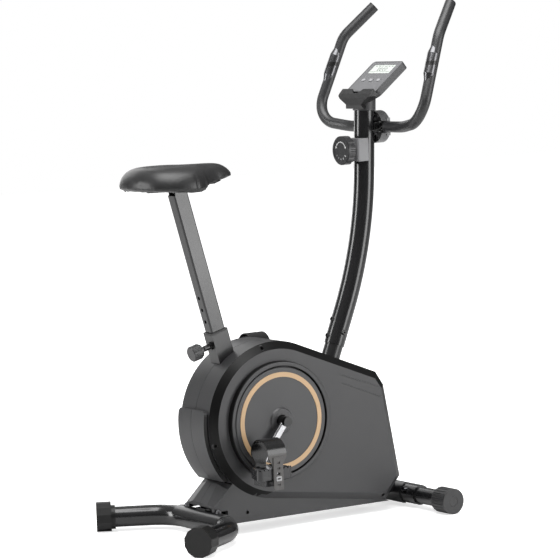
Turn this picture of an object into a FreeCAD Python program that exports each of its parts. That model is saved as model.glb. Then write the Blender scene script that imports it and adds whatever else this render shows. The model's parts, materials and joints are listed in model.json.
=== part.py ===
import FreeCAD, Part
import math
import os
import re
import Sketcher

# Upright magnetic exercise bike. X forward, Y to the rider's left, Z up, floor at Z = 0.
# Places below are measured from the crank axis in X; origin_shift then centres the bike.

V = FreeCAD.Vector
Turn = FreeCAD.Rotation
X, Y, Z = V(1, 0, 0), V(0, 1, 0), V(0, 0, 1)

SIZES = {
    # whole bike
    "origin_shift": -76.353, "crank_height": 264.0, "fit_gap": 0.05, "sheet_wall": 2.6,
    # floor tubes and caps
    "floor_tube_radius": 25.0, "floor_tube_wall": 1.6, "rear_tube_x": -178.0, "rear_tube_height": 33.0,
    "rear_bend_y": 136.0, "rear_toe": 59.8, "rear_run": 186.0, "rear_bend_radius": 100.0,
    "cap_apothem": 35.0, "cap_depth": 36.0, "cap_collar": 10.0, "cap_collar_radius": 29.0,
    "cap_plate": 4.0, "front_tube_x": 402.5, "front_tube_height": 31.5, "front_tube_half": 96.0,
    "front_core_radius": 21.0, "front_core_half": 176.0, "wheel_pin_radius": 8.0, "wheel_pin_head": 12.0,
    "wheel_radius": 31.5, "wheel_start": 178.0, "wheel_end": 228.0, "wheel_flute": 1.9, "wheel_gap": 0.4,
    "saddle_plate": 3.0, "rear_plate_half": 100.0, "front_plate_half": 44.0, "bolt_radius": 4.0,
    "bolt_head_radius": 7.0, "bolt_head": 4.0, "rear_bolt_y": 70.0, "front_bolt_y": 60.0,
    "front_bolt_rise": 14.0, "riser_width": 40.0,
    # welded frame
    "base_width": 40.0, "base_height": 50.0, "base_low": 34.0, "base_rear": -140.0, "base_front": 380.0,
    "riser_front": -110.0, "riser_top": 65.6, "seat_lean": 15.04, "sleeve_x": -119.7,
    "sleeve_top": 483.0, "sleeve_length": 415.0, "sleeve_depth": 46.0, "sleeve_width": 38.0,
    "post_depth": 40.0, "post_width": 30.0, "post_round": 4.0, "seat_post_length": 560.0,
    "seat_post_above": 350.0, "hole_pitch": 30.0, "pin_hole_radius": 4.5, "pin_height_drop": 27.0,
    "post_gap": 0.4, "stub_lean": 22.4, "stub_x": 233.3, "stub_z": 441.4, "stub_radius": 23.0,
    "stub_foot": 398.0, "stub_head": 78.0, "shell_radius": 20.0, "shell_half": 34.0, "axle_radius": 8.5,
    "axle_half": 114.0,
    # curved upright post
    "upright_radius": 25.3, "upright_wall": 2.2, "upright_low": 418.0, "upright_knee_x": 325.7,
    "upright_knee_z": 665.6, "upright_top_x": 342.5, "upright_top_z": 1016.0, "upright_bend": 1000.0,
    # covers
    "cover_body_half": 61.4, "cover_band_half": 76.1, "cover_face_half": 83.5, "rim_radius": 189.6,
    "band_width": 17.6, "lip_radius": 165.0, "lip_width": 10.0, "puck_keel": 137.0, "top_angle": 68.3,
    "nose_angle": 33.5, "nose_reach": 297.7, "front_angle": 9.9, "front_reach": 327.5,
    "chin_angle": -40.9, "chin_reach": 394.0, "keel_angle": -97.9, "sash_angle": 38.2,
    "sash_reach": 149.5, "tail_angle": -132.8, "tail_x": -184.0, "tail_z": 73.0, "tail_low": 62.0,
    "cap_x": -149.5, "cap_z": 123.0, "cap_end_x": -185.0, "cap_end_z": 79.0, "skirt_x": -146.0,
    "skirt_z": 28.0, "recess_half": 50.0, "skirt_front_x": 331.0, "skirt_front_z": 23.0,
    "disc_radius": 129.0, "disc_half": 87.0, "disc_thick": 5.0, "ring_radius": 117.0, "ring_width": 11.5,
    "ring_thick": 1.2, "collar_radius": 32.0, "collar_rise": 4.0, "axle_hole": 15.0, "hoop_inner": 132.0,
    "hoop_outer": 143.0, "hoop_top": 141.5, "hoop_half": 89.5, "seam_half": 0.5, "seam_depth": 1.2,
    "patch_radius": 201.0, "patch_half": 57.0, "patch_sweep": 54.0, "patch_start": 222.0,
    "patch_corner": 12.0,
    # drive
    "crank_length": 137.0, "crank_angle": 39.0, "arm_inner": 98.0, "arm_thick": 12.0, "arm_width": 20.0,
    "hub_start": 88.0, "hub_radius": 13.0, "eye_radius": 13.5, "spindle_radius": 7.0,
    "spindle_end": 186.0, "pedal_inner": 118.0, "pedal_outer": 186.0, "pedal_height": 26.0,
    "pedal_weight": 17.0, "pedal_half_out": 52.0, "pedal_half_in": 27.0, "tread_pitch": 11.0,
    "strap_width": 52.0, "strap_neck": 30.0, "strap_thick": 2.6, "strap_rise": 30.0, "strap_x": 3.0,
    "strap_gap": 0.6, "tail_drop": 38.0, "hole_step": 13.0, "flywheel_x": 225.0, "flywheel_z": 185.0,
    "flywheel_radius": 90.0, "flywheel_in": 28.0, "flywheel_out": 48.0, "pulley_in": 40.0,
    "pulley_out": 50.0, "drive_radius": 100.0, "small_radius": 18.0, "belt_thick": 1.6,
    "wheel_axle_radius": 6.0, "wheel_hub_radius": 14.0, "wheel_axle_half": 57.0, "bracket_inner": 53.0,
    "magnet_angle": -38.0, "magnet_reach": 101.0, "magnet_thick": 12.0, "magnet_air": 5.0,
    "magnet_pin": 4.0,
    # tension control
    "knob_x": 265.0, "knob_z": 893.0, "knob_radius": 35.5, "knob_thick": 21.0, "neck_end": 300.0,
    "block_half": 27.0, "block_height": 56.0, "block_front": 334.0, "knob_gap": 0.4,
    # console
    "console_lean": 37.7, "console_x": 331.0, "console_z": 1034.0, "console_length": 116.0,
    "console_half": 63.0, "console_thick": 18.0, "lens_half": 44.0, "lens_height": 32.0,
    "lens_from_top": 29.0, "button_row": 44.0, "button_pitch": 31.0, "button_length": 13.0,
    "button_height": 8.0, "button_rise": 1.8, "ledge_half": 65.0, "cradle_half": 60.0,
    "socket_lean": 2.74, "wire_radius": 1.3,
    # handlebar
    "bar_x": 376.2, "bar_z": 946.0, "bar_radius": 11.1, "grip_radius": 13.6, "grip_start": 42.0,
    "elbow_y": 110.0, "elbow_radius": 120.0, "corner_x": 348.0, "corner_y": 222.0, "corner_z": 962.0,
    "corner_radius": 60.0, "reach_x": 428.0, "reach_y": 198.0, "reach_z": 1168.0, "reach_radius": 70.0,
    "tip_x": 497.0, "tip_y": 158.0, "tip_z": 1241.0, "plug_depth": 18.0, "plug_rim": 2.5,
    "sensor_radius": 14.5, "sensor_length": 88.0, "sensor_offset": 4.5, "sensor_end": 9.5,
    "sensor_middle": 0.66, "clamp_cover_radius": 40.0, "clamp_cover_rear": 366.0,
    "clamp_cover_front": 394.2, "clamp_half": 22.0,
    # saddle
    "saddle_rear": -345.0, "saddle_nose": -50.0, "saddle_half": 118.0, "saddle_low": 820.0,
    "saddle_skin": 14.0, "saddle_pocket": 26.0, "pan_thick": 6.0, "tilt_z": 838.0,
    "tilt_radius": 9.0,
    # seat pin
    "pin_radius": 4.0, "pin_knob_radius": 19.0, "pin_knob_near": 53.0, "pin_knob_far": 82.0,
    "barrel_radius": 7.0, "barrel_end": 44.0,
}

doc = FreeCAD.newDocument("exercise_bike")
sheet = doc.addObject("Spreadsheet::Sheet", "Sizes")
for row, (alias, number) in enumerate(SIZES.items(), 1):
    sheet.set(f"A{row}", alias)
    sheet.set(f"B{row}", str(number))
    sheet.setAlias(f"B{row}", alias)
doc.recompute()

nodes = {}


# ---- helpers -------------------------------------------------------------------------------

def formula(text):
    """Puts the sheet's name before every alias in a formula."""
    return re.sub(r"[a-z][a-z_]+", lambda m: "Sizes." + m[0] if m[0] in SIZES else m[0], str(text))


def val(text):
    return float(sheet.evalExpression(formula(text)))


def bind(obj, **sizes):
    for prop, text in sizes.items():
        obj.setExpression(prop, formula(text))
    return obj


def put(obj, at=("0", "0", "0"), turn=None):
    """Places an object: the point follows the sheet, the turn is fixed."""
    obj.Placement = FreeCAD.Placement(V(*[val(c) for c in at]), turn or Turn())
    for axis, text in zip("xyz", at):
        obj.setExpression(f"Placement.Base.{axis}", formula(text))
    return obj


def box(at, size, turn=None, centred=""):
    """A box whose corner is at the point, or whose middle is, along the axes named in centred."""
    b = bind(doc.addObject("Part::Box", "box"), Length=size[0], Width=size[1], Height=size[2])
    shift = V(*[-val(s) / 2 if a in centred else 0 for a, s in zip("xyz", size)])
    if turn is None:
        at = [f"({c}) - ({s}) / 2" if a in centred else c for a, c, s in zip("xyz", at, size)]
        return put(b, at)
    put(b, at, turn)
    moved = turn.multVec(shift)
    for axis, c, m in zip("xyz", at, moved):
        b.setExpression(f"Placement.Base.{axis}", formula(f"({c}) + {m:.6f}"))
    return b


TOWARDS = {"x": Turn(Y, 90), "-x": Turn(Y, -90), "y": Turn(X, -90), "-y": Turn(X, 90), "z": Turn(),
    "-z": Turn(X, 180)}


def cylinder(at, radius, height, along="z", **more):
    c = bind(doc.addObject("Part::Cylinder", "cylinder"), Radius=radius, Height=height, **more)
    turn = TOWARDS[along] if isinstance(along, str) else Turn(Z, along)
    return put(c, at, turn)


def cone(at, low, high, height, along="z"):
    c = bind(doc.addObject("Part::Cone", "cone"), Radius1=low, Radius2=high, Height=height)
    return put(c, at, TOWARDS[along] if isinstance(along, str) else Turn(Z, along))


def fuse(*parts):
    if len(parts) == 1:
        return parts[0]
    f = doc.addObject("Part::MultiFuse", "fuse")
    f.Shapes = list(parts)
    return f


def cut(base, *tools):
    c = doc.addObject("Part::Cut", "cut")
    c.Base = base
    c.Tool = fuse(*tools)
    return c


def common(base, tool):
    c = doc.addObject("Part::Common", "common")
    c.Base = base
    c.Tool = tool
    return c


def group(*parts):
    """Separate solids that share one node, such as a row of equal bolts."""
    g = doc.addObject("Part::Compound", "group")
    g.Links = list(parts)
    return g


def mirror(source, normal=Y):
    m = doc.addObject("Part::Mirroring", "mirror")
    m.Source = source
    m.Normal = normal
    return m


def soften(obj, radius, pick):
    """Rounds the edges that pick accepts."""
    doc.recompute()
    f = doc.addObject("Part::Fillet", "fillet")
    f.Base = obj
    f.Edges = [(i, radius, radius) for i, e in enumerate(obj.Shape.Edges, 1) if pick(e)]
    return f


def keep(name, obj):
    obj.Label = name
    nodes[name] = obj
    return obj


def sketch(points, at=("0", "0", "0"), turn=TOWARDS["-y"], arcs=()):
    """A closed outline on its own plane. Every corner is held by two dimensions from the sheet;
    arcs = [(index, centre, radius, via angle)] turns the edge that leaves a corner into an arc."""
    s = doc.addObject("Sketcher::SketchObject", "outline")
    put(s, at, turn)
    xy = [V(val(a), val(b), 0) for a, b in points]
    arc_at = {a[0]: a for a in arcs}
    n = len(points)
    for i in range(n):
        p, q = xy[i], xy[(i + 1) % n]
        if i in arc_at:
            _, centre, radius, via = arc_at[i]
            c = V(val(centre[0]), val(centre[1]), 0)
            mid = c + V(val(f"({radius}) * cos({via})"), val(f"({radius}) * sin({via})"), 0)
            s.addGeometry(Part.Arc(p, mid, q))
        else:
            s.addGeometry(Part.LineSegment(p, q))
    for i in range(n):
        if i in arc_at:
            s.addConstraint(Sketcher.Constraint("Coincident", i, 1, (i - 1) % n, 2))
            s.addConstraint(Sketcher.Constraint("Coincident", i, 2, (i + 1) % n, 1))
            k = s.addConstraint(Sketcher.Constraint("Radius", i, val(arc_at[i][2])))
            s.setExpression(f"Constraints[{k}]", formula(arc_at[i][2]))
            continue
        for which, (a, b) in ((1, points[i]), (2, points[(i + 1) % n])):
            for kind, text in (("DistanceX", a), ("DistanceY", b)):
                k = s.addConstraint(Sketcher.Constraint(kind, -1, 1, i, which, val(text)))
                s.setExpression(f"Constraints[{k}]", formula(text))
    return s


def extrude(outline, length, direction=Y):
    e = doc.addObject("Part::Extrusion", "extrusion")
    e.Base = outline
    e.DirMode = "Custom"
    e.Dir = direction
    e.Solid = True
    return bind(e, LengthFwd=length)


def loft(low, high):
    f = doc.addObject("Part::Loft", "loft")
    f.Sections = [low, high]
    f.Solid = True
    f.Ruled = True
    return f


def path(points, radii):
    """A wire of straight runs joined by tangent arcs."""
    p = [V(*[val(c) for c in q]) for q in points]
    edges, start = [], p[0]
    for i, r in enumerate(radii, 1):
        before, after = (p[i] - p[i - 1]).normalize(), (p[i + 1] - p[i]).normalize()
        half = before.getAngle(after) / 2
        reach = val(r) * math.tan(half)
        a, b = p[i] - before * reach, p[i] + after * reach
        middle = (after - before).normalize()
        c = p[i] + middle * (val(r) / math.cos(half))
        edges += [Part.LineSegment(start, a).toShape(), Part.Arc(a, c - middle * val(r), b).toShape()]
        start = b
    edges.append(Part.LineSegment(start, p[-1]).toShape())
    wire = doc.addObject("Part::Feature", "path")
    wire.Shape = Part.Wire(edges)
    return wire


def rod(wire, radius):
    """A round bar swept along a path."""
    doc.recompute()
    first = wire.Shape.Edges[0]
    ring = bind(doc.addObject("Part::Circle", "ring"), Radius=radius)
    ring.Placement = FreeCAD.Placement(
        first.Vertexes[0].Point, Turn(Z, first.tangentAt(first.FirstParameter)),
    )
    s = doc.addObject("Part::Sweep", "sweep")
    s.Sections = [ring]
    s.Spine = (wire, [f"Edge{i}" for i in range(1, len(wire.Shape.Edges) + 1)])
    s.Solid = True
    s.Frenet = False
    return s


def ray(angle, radius):
    """The point at an angle and radius round the crank axis, in the XZ plane."""
    return (f"({radius}) * cos({angle})", f"crank_height + ({radius}) * sin({angle})")


def meet(a, p, b, q):
    """Where two straight edges cross, each given by its normal's angle and its distance from the crank axis."""
    return (
        f"(({p}) * sin({b}) - ({q}) * sin({a})) / sin({b} - {a})",
        f"crank_height + (({q}) * cos({a}) - ({p}) * cos({b})) / sin({b} - {a})",
    )


AXIS = ("0", "crank_height")
LEAN_BACK = Turn(Y, -val("seat_lean"))
LEAN_STUB = Turn(Y, val("stub_lean"))
PIN_OUT = LEAN_BACK.multVec(-X)


# ---- floor tubes ---------------------------------------------------------------------------

def rear_end(side, run):
    return (
        f"rear_tube_x - ({run}) * sin(rear_toe)",
        f"{side} * (rear_bend_y + ({run}) * cos(rear_toe))",
        "rear_tube_height",
    )


def rear_stabiliser():
    ends = "rear_run - cap_plate"
    corners = [("rear_tube_x", f"{side} * rear_bend_y", "rear_tube_height") for side in (-1, 1)]
    route = path([rear_end(-1, ends), *corners, rear_end(1, ends)], ["rear_bend_radius"] * 2)
    tube = cut(rod(route, "floor_tube_radius"), rod(route, "floor_tube_radius - floor_tube_wall"))
    bolts = [
        cylinder(("rear_tube_x", f"{side} * rear_bolt_y", "0"), "bolt_radius", "riser_top") for side in (
            -1, 1,
        )
    ]
    keep("rear_stabiliser", cut(tube, *bolts))


def rear_cap(name, side):
    """A twelve-sided levelling cap, bored off centre so that turning it lifts or lowers the bike."""
    toe = math.radians(val("rear_toe"))
    out = V(-math.sin(toe), side * math.cos(toe), 0)
    frame = Turn(Z.cross(out), Z, out, "ZXY")
    flat_down = frame.multiply(Turn(Z, 15))
    inner = rear_end(side, "rear_run - cap_depth")
    x, y, _ = inner
    prism = bind(
        doc.addObject("Part::Prism", "prism"), Circumradius="cap_apothem / cos(15)", Height="cap_depth",
    )
    prism.Polygon = 12
    put(prism, (x, y, "cap_apothem"), flat_down)
    collar = cylinder(
        rear_end(side, "rear_run - cap_depth - cap_collar"), "cap_collar_radius", "cap_collar", out,
    )
    bore_from = rear_end(side, "rear_run - cap_depth - cap_collar - 1")
    bore = cylinder(
        bore_from, "floor_tube_radius + fit_gap", "cap_depth + cap_collar + 1 - cap_plate + 0.3", out,
    )
    keep(name, cut(fuse(prism, collar), bore))


def front_stabiliser():
    at = ("front_tube_x", "-front_tube_half", "front_tube_height")
    sleeve = cut(
        cylinder(at, "floor_tube_radius", "2 * front_tube_half", "y"),
        cylinder(at, "front_core_radius - 1.5", "2 * front_tube_half", "y"),
    )
    core_at = ("front_tube_x", "-front_core_half", "front_tube_height")
    core = cut(
        cylinder(core_at, "front_core_radius", "2 * front_core_half", "y"),
        cylinder(
            ("front_tube_x", "3 - front_core_half", "front_tube_height"),
            "front_core_radius - 1.5", "2 * front_core_half - 6", "y",
        ),
    )
    pins = []
    for side, way in ((-1, "-y"), (1, "y")):
        root = ("front_tube_x", f"{side} * front_core_half", "front_tube_height")
        pins.append(cylinder(root, "wheel_pin_radius", "wheel_end - 3 - front_core_half", way))
        head = ("front_tube_x", f"{side} * (wheel_end - 3)", "front_tube_height")
        pins.append(cylinder(head, "wheel_pin_head", "2.4", way))
    bolts = [
        cylinder(("front_tube_x - 50", f"{side} * front_bolt_y", "front_tube_height + front_bolt_rise"),
                 "bolt_radius", "100", "x")
        for side in (-1, 1)
    ]
    keep("front_stabiliser", cut(fuse(sleeve, core, *pins), *bolts))


def front_wheel(name, side, way):
    """A fluted end wheel that rolls when the bike is tipped on to its front feet."""
    at = ("front_tube_x", f"{side} * wheel_start", "front_tube_height")
    body = cylinder(at, "wheel_radius", "wheel_end - wheel_start", way)
    flutes = []
    for i in range(24):
        a = f"{15 * i + 7.5}"
        flute_at = (
            f"front_tube_x + (wheel_radius + 0.7) * cos({a})",
            f"{side} * wheel_start",
            f"front_tube_height + (wheel_radius + 0.7) * sin({a})",
        )
        flutes.append(cylinder(flute_at, "wheel_flute", "wheel_end - wheel_start - 5", way))
    bore = cylinder(at, "wheel_pin_radius + fit_gap", "wheel_end - wheel_start", way)
    seat = ("front_tube_x", f"{side} * (wheel_end - 3 - wheel_gap)", "front_tube_height")
    keep(name, cut(body, *flutes, bore, cylinder(seat, "wheel_pin_head + wheel_gap", "5", way)))


def floor_bolts():
    rear, front = [], []
    for side in (-1, 1):
        y = f"{side} * rear_bolt_y"
        base = "rear_tube_height + floor_tube_radius + saddle_plate"
        rear.append(cylinder(("rear_tube_x", y, "rear_tube_height - floor_tube_radius"), "bolt_radius",
                             "2 * floor_tube_radius + saddle_plate"))
        rear.append(cylinder(("rear_tube_x", y, base), "bolt_head_radius", "bolt_head"))
        rear.append(put(bind(doc.addObject("Part::Sphere", "dome"), Radius="bolt_radius + 1.5"),
                        ("rear_tube_x", y, f"{base} + bolt_head")))
        y = f"{side} * front_bolt_y"
        height = "front_tube_height + front_bolt_rise"
        back = "front_tube_x - sqrt(floor_tube_radius^2 - front_bolt_rise^2)"
        front.append(cylinder((f"{back} - 3", y, height), "bolt_radius", "2 * floor_tube_radius", "x"))
        head = cylinder((f"{back} + 3", y, height), "bolt_head_radius", "7 + bolt_head", "-x")
        nut = cylinder((f"2 * front_tube_x - {back} - 3", y, height), "bolt_head_radius", "6", "x")
        front += [cut(piece, cylinder(("front_tube_x", "-front_tube_half", "front_tube_height"),
                                      "floor_tube_radius", "2 * front_tube_half",
                                          "y")) for piece in (head, nut)]
    keep("rear_bolts", group(fuse(*rear[:3]), fuse(*rear[3:])))
    keep("front_bolts", group(fuse(*front[:3]), fuse(*front[3:])))


# ---- welded frame --------------------------------------------------------------------------

def along_seat(drop, across="0"):
    """A point on the seat tube's axis, a distance below the sleeve's top and behind the axis."""
    return (
        f"sleeve_x + ({drop}) * sin(seat_lean) - ({across}) * cos(seat_lean)",
        "0",
        f"sleeve_top - ({drop}) * cos(seat_lean) - ({across}) * sin(seat_lean)",
    )


def along_stub(drop):
    """A point on the stub's axis, a distance below its reference point."""
    return (f"stub_x - ({drop}) * sin(stub_lean)", "0", f"stub_z - ({drop}) * cos(stub_lean)")


def saddle_plates():
    rear_from = ("rear_tube_x", "-rear_plate_half", "rear_tube_height")
    rear = cut(
        cylinder(rear_from, "floor_tube_radius + saddle_plate", "2 * rear_plate_half", "y"),
        cylinder(rear_from, "floor_tube_radius", "2 * rear_plate_half", "y"),
        box(("rear_tube_x - 40", "-rear_plate_half - 1", "0"),
            ("80", "2 * rear_plate_half + 2", "rear_tube_height + 9")),
    )
    front_from = ("front_tube_x", "-front_plate_half", "front_tube_height")
    front = cut(
        cylinder(front_from, "floor_tube_radius + saddle_plate", "2 * front_plate_half", "y"),
        cylinder(front_from, "floor_tube_radius", "2 * front_plate_half", "y"),
        box(("front_tube_x - 9", "-front_plate_half - 1", "0"), ("60", "2 * front_plate_half + 2", "90")),
    )
    return [rear, front]


def main_frame():
    base = cut(
        box(("base_rear", "0", "base_low"), ("base_front - base_rear", "base_width", "base_height"),
            centred="y"),
        box(("base_rear", "0", "base_low + 2"),
            ("base_front - base_rear - 2", "base_width - 4", "base_height - 4"),
            centred="y"),
    )
    riser = box(("rear_tube_x - 6", "0", "rear_tube_height + floor_tube_radius"),
                ("riser_front - rear_tube_x + 6", "riser_width",
                    "riser_top - rear_tube_height - floor_tube_radius"),
                centred="y")
    sleeve_foot = along_seat("sleeve_length")
    sleeve = box(sleeve_foot, ("sleeve_depth", "sleeve_width", "sleeve_length"), LEAN_BACK, "xy")
    bore = box(along_seat("sleeve_length - 20"),
               ("post_depth + 2 * post_gap", "post_width + 2 * post_gap", "sleeve_length"), LEAN_BACK, "xy")
    boss = cylinder(along_seat("pin_height_drop", "sleeve_depth / 2 - 1"), "10", "6", PIN_OUT)
    barrel = cylinder(along_seat("pin_height_drop", "sleeve_depth / 2 - 1"), "barrel_radius",
                      "barrel_end - sleeve_depth / 2 + 1", PIN_OUT)
    pin_hole = cylinder(
        along_seat("pin_height_drop", "post_depth / 2"), "pin_radius + 0.4", "barrel_end", PIN_OUT,
    )
    stub = cylinder(along_stub("stub_foot"), "stub_radius", "stub_foot + stub_head", LEAN_STUB.multVec(Z))
    stub_bore = cylinder(
        along_stub("stub_foot - 30"), "stub_radius - 2", "stub_foot + stub_head", LEAN_STUB.multVec(Z),
    )
    shell = cylinder(("0", "-shell_half", "crank_height"), "shell_radius", "2 * shell_half", "y")
    axle_bore = cylinder(
        ("0", "-shell_half", "crank_height"), "axle_radius + fit_gap", "2 * shell_half", "y",
    )
    strut = box(("0", "0", "base_low + base_height - 2"),
        ("24", "30", "crank_height - base_low - base_height - 8"),
                centred="xy")
    gusset = box(("-52", "0", "crank_height"), ("40", "8", "60"), centred="yz")
    rail = box(
        ("flywheel_x", "0", "base_low + base_height"), ("36", "2 * wheel_axle_half", "6"), centred="xy",
    )
    cheeks = [
        box(("flywheel_x", f"{side} * (bracket_inner + wheel_axle_half) / 2", "base_low + base_height"),
            ("30", "wheel_axle_half - bracket_inner", "flywheel_z - base_low - base_height + 15"),
                centred="xy")
        for side in (-1, 1)
    ]
    axle_holes = cylinder(("flywheel_x", "-wheel_axle_half", "flywheel_z"), "wheel_axle_radius",
                          "2 * wheel_axle_half", "y")
    pin_x, pin_z = magnet_pivot()
    arm_post = box((pin_x, "14", "base_low + base_height - 2"),
        ("13", "6", f"{pin_z} - base_low - base_height + 9"),
                   centred="x")
    arm_pin = cylinder((pin_x, "14", pin_z), "magnet_pin", "flywheel_out - 14", "y")
    solid = fuse(base, riser, sleeve, boss, barrel, stub, shell, strut, gusset, rail, *cheeks,
        arm_post, arm_pin,
                 *saddle_plates())
    bolts = [cylinder(("rear_tube_x", f"{side} * rear_bolt_y", "0"), "bolt_radius",
        "riser_top") for side in (-1, 1)]
    bolts += [
        cylinder(("front_tube_x - 60", f"{side} * front_bolt_y", "front_tube_height + front_bolt_rise"),
                 "bolt_radius", "60", "x")
        for side in (-1, 1)
    ]
    tube = cylinder(("front_tube_x", "-front_plate_half", "front_tube_height"), "floor_tube_radius",
                    "2 * front_plate_half", "y")
    keep("main_frame", cut(solid, bore, stub_bore, axle_bore, axle_holes, pin_hole, tube, *bolts))


def magnet_pivot():
    return (
        "flywheel_x + magnet_reach * cos(magnet_angle)",
        "flywheel_z + magnet_reach * sin(magnet_angle)",
    )


def sleeve_collar():
    ring = box(along_seat("0"), ("sleeve_depth", "sleeve_width", "5"), LEAN_BACK, "xy")
    hole = box(
        along_seat("1"), ("post_depth + 2 * post_gap", "post_width + 2 * post_gap", "9"), LEAN_BACK, "xy",
    )
    keep("sleeve_collar", cut(ring, hole))


# ---- upright post --------------------------------------------------------------------------

def upright_route():
    low = ("upright_knee_x - (upright_knee_z - upright_low) * tan(stub_lean)", "0", "upright_low")
    knee = ("upright_knee_x", "0", "upright_knee_z")
    top = ("upright_top_x", "0", "upright_top_z")
    return path([low, knee, top], ["upright_bend"])


def front_post():
    route = upright_route()
    tube = cut(rod(route, "upright_radius"), rod(route, "upright_radius - upright_wall"))
    keep("front_post", cut(tube, rod(wire_route(), "wire_radius + 0.7")))


def post_bolts():
    """Three button-head bolts that clamp the upright to the stub."""
    heads = []
    for drop, side in (("-33", "rear"), ("9", "rear"), ("-8", "right")):
        x, _, z = along_stub(drop)
        if side == "rear":
            reach = "upright_radius - 0.6"
            at = (f"{x} - ({reach}) * cos(stub_lean)", "0", f"{z} + ({reach}) * sin(stub_lean)")
            way = LEAN_STUB.multVec(-X)
        else:
            at = (x, "0.6 - upright_radius", z)
            way = -Y
        heads.append(cut(cone(at, "7", "5", "5", way), cylinder(at, "2.5", "9", way)))
    keep("post_bolts", cut(group(*heads), rod(upright_route(), "upright_radius")))


# ---- covers --------------------------------------------------------------------------------

def shield(inset, half):
    """The outline that the sloping band and the flat side panel share, inset from the rim."""
    r = f"rim_radius - ({inset})"
    nose, front, chin = (f"{k}_reach - ({inset})" for k in ("nose", "front", "chin"))
    points = [
        ray("top_angle", r),
        ray("keel_angle", r),
        meet("keel_angle", r, "chin_angle", chin),
        meet("chin_angle", chin, "front_angle", front),
        meet("front_angle", front, "nose_angle", nose),
        meet("nose_angle", nose, "top_angle", r),
    ]
    return sketch(points, ("0", f"-({half})", "0"), arcs=[(0, AXIS, r, "180")])


def chord(angle, reach, radius, way):
    """Where a straight edge, given by its normal's angle and distance, crosses a circle round the axis."""
    half = f"{way} * sqrt(abs(({radius})^2 - ({reach})^2))"
    return (
        f"({reach}) * cos({angle}) - {half} * sin({angle})",
        f"crank_height + ({reach}) * sin({angle}) + {half} * cos({angle})",
    )


def puck(inset, half, keel="lip_radius"):
    """The raised lower side panel, round the crank and cut off by the diagonal sash."""
    r = f"lip_radius - ({inset})"
    keel = f"{keel} - ({inset})" if keel == "lip_radius" else keel
    sash = f"sash_reach - ({inset})"
    front, chin = (f"{k}_reach - band_width - ({inset})" for k in ("front", "chin"))
    points = [
        chord("sash_angle", sash, r, 1),
        chord("keel_angle", keel, r, -1),
        meet("keel_angle", keel, "chin_angle", chin),
        meet("chin_angle", chin, "front_angle", front),
        meet("front_angle", front, "sash_angle", sash),
    ]
    return sketch(points, ("0", f"-({half})", "0"), arcs=[(0, AXIS, r, "180")])


def trunk(w):
    """The cover's main outline with its tail and skirt, inset by w."""
    r = f"rim_radius - ({w})"
    nose, front, chin = (f"{k}_reach - ({w})" for k in ("nose", "front", "chin"))
    points = [
        ray("top_angle", r),
        ray("tail_angle", r),
        (f"tail_x + ({w})", f"tail_z - ({w}) / 4"),
        (f"tail_x + ({w})", f"tail_low + ({w})"),
        (f"skirt_x + ({w})", f"tail_low + ({w})"),
        (f"skirt_x + ({w})", f"skirt_z + ({w})"),
        (f"skirt_front_x - ({w})", f"skirt_front_z + ({w})"),
        meet("keel_angle", r, "chin_angle", chin),
        meet("chin_angle", chin, "front_angle", front),
        meet("front_angle", front, "nose_angle", nose),
        meet("nose_angle", nose, "top_angle", r),
    ]
    return sketch(points, arcs=[(0, AXIS, r, "180")])


def cover_volume(w):
    """The right cover as a solid; w shrinks it by the wall to give the hollow."""
    return [
        extrude(trunk(w), f"cover_body_half - ({w})", -Y),
        loft(shield(w, f"cover_body_half - ({w})"),
            shield(f"band_width + ({w})", f"cover_band_half - ({w})")),
        loft(puck(w, f"cover_band_half - ({w})"),
             puck(f"lip_width + ({w})", f"cover_face_half - ({w})", f"puck_keel - ({w})")),
    ]


def slot(x, z, length, height, depth_from, angle):
    """A straight groove in the side panel, starting at (x, z) and sloping down to the front."""
    return box((x, f"-({depth_from}) - 20", z), (length, "20", height), Turn(Y, angle))


SCREWS = (
    ("-35", "440", "0", "66"), ("-177", "221", "0", "66"), ("-90", "50.5", "21", "61"), (
        "305", "42", "21", "69",
    ),
)


def on_patch_end(edge):
    """The upper corner of the rear patch, seen from behind."""
    middle = edge.CenterOfMass
    flat = abs(middle.y + val("patch_half")) < 0.1 and abs(edge.Length - val("patch_radius")) < 0.1
    return flat and middle.z > val("crank_height")


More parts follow.
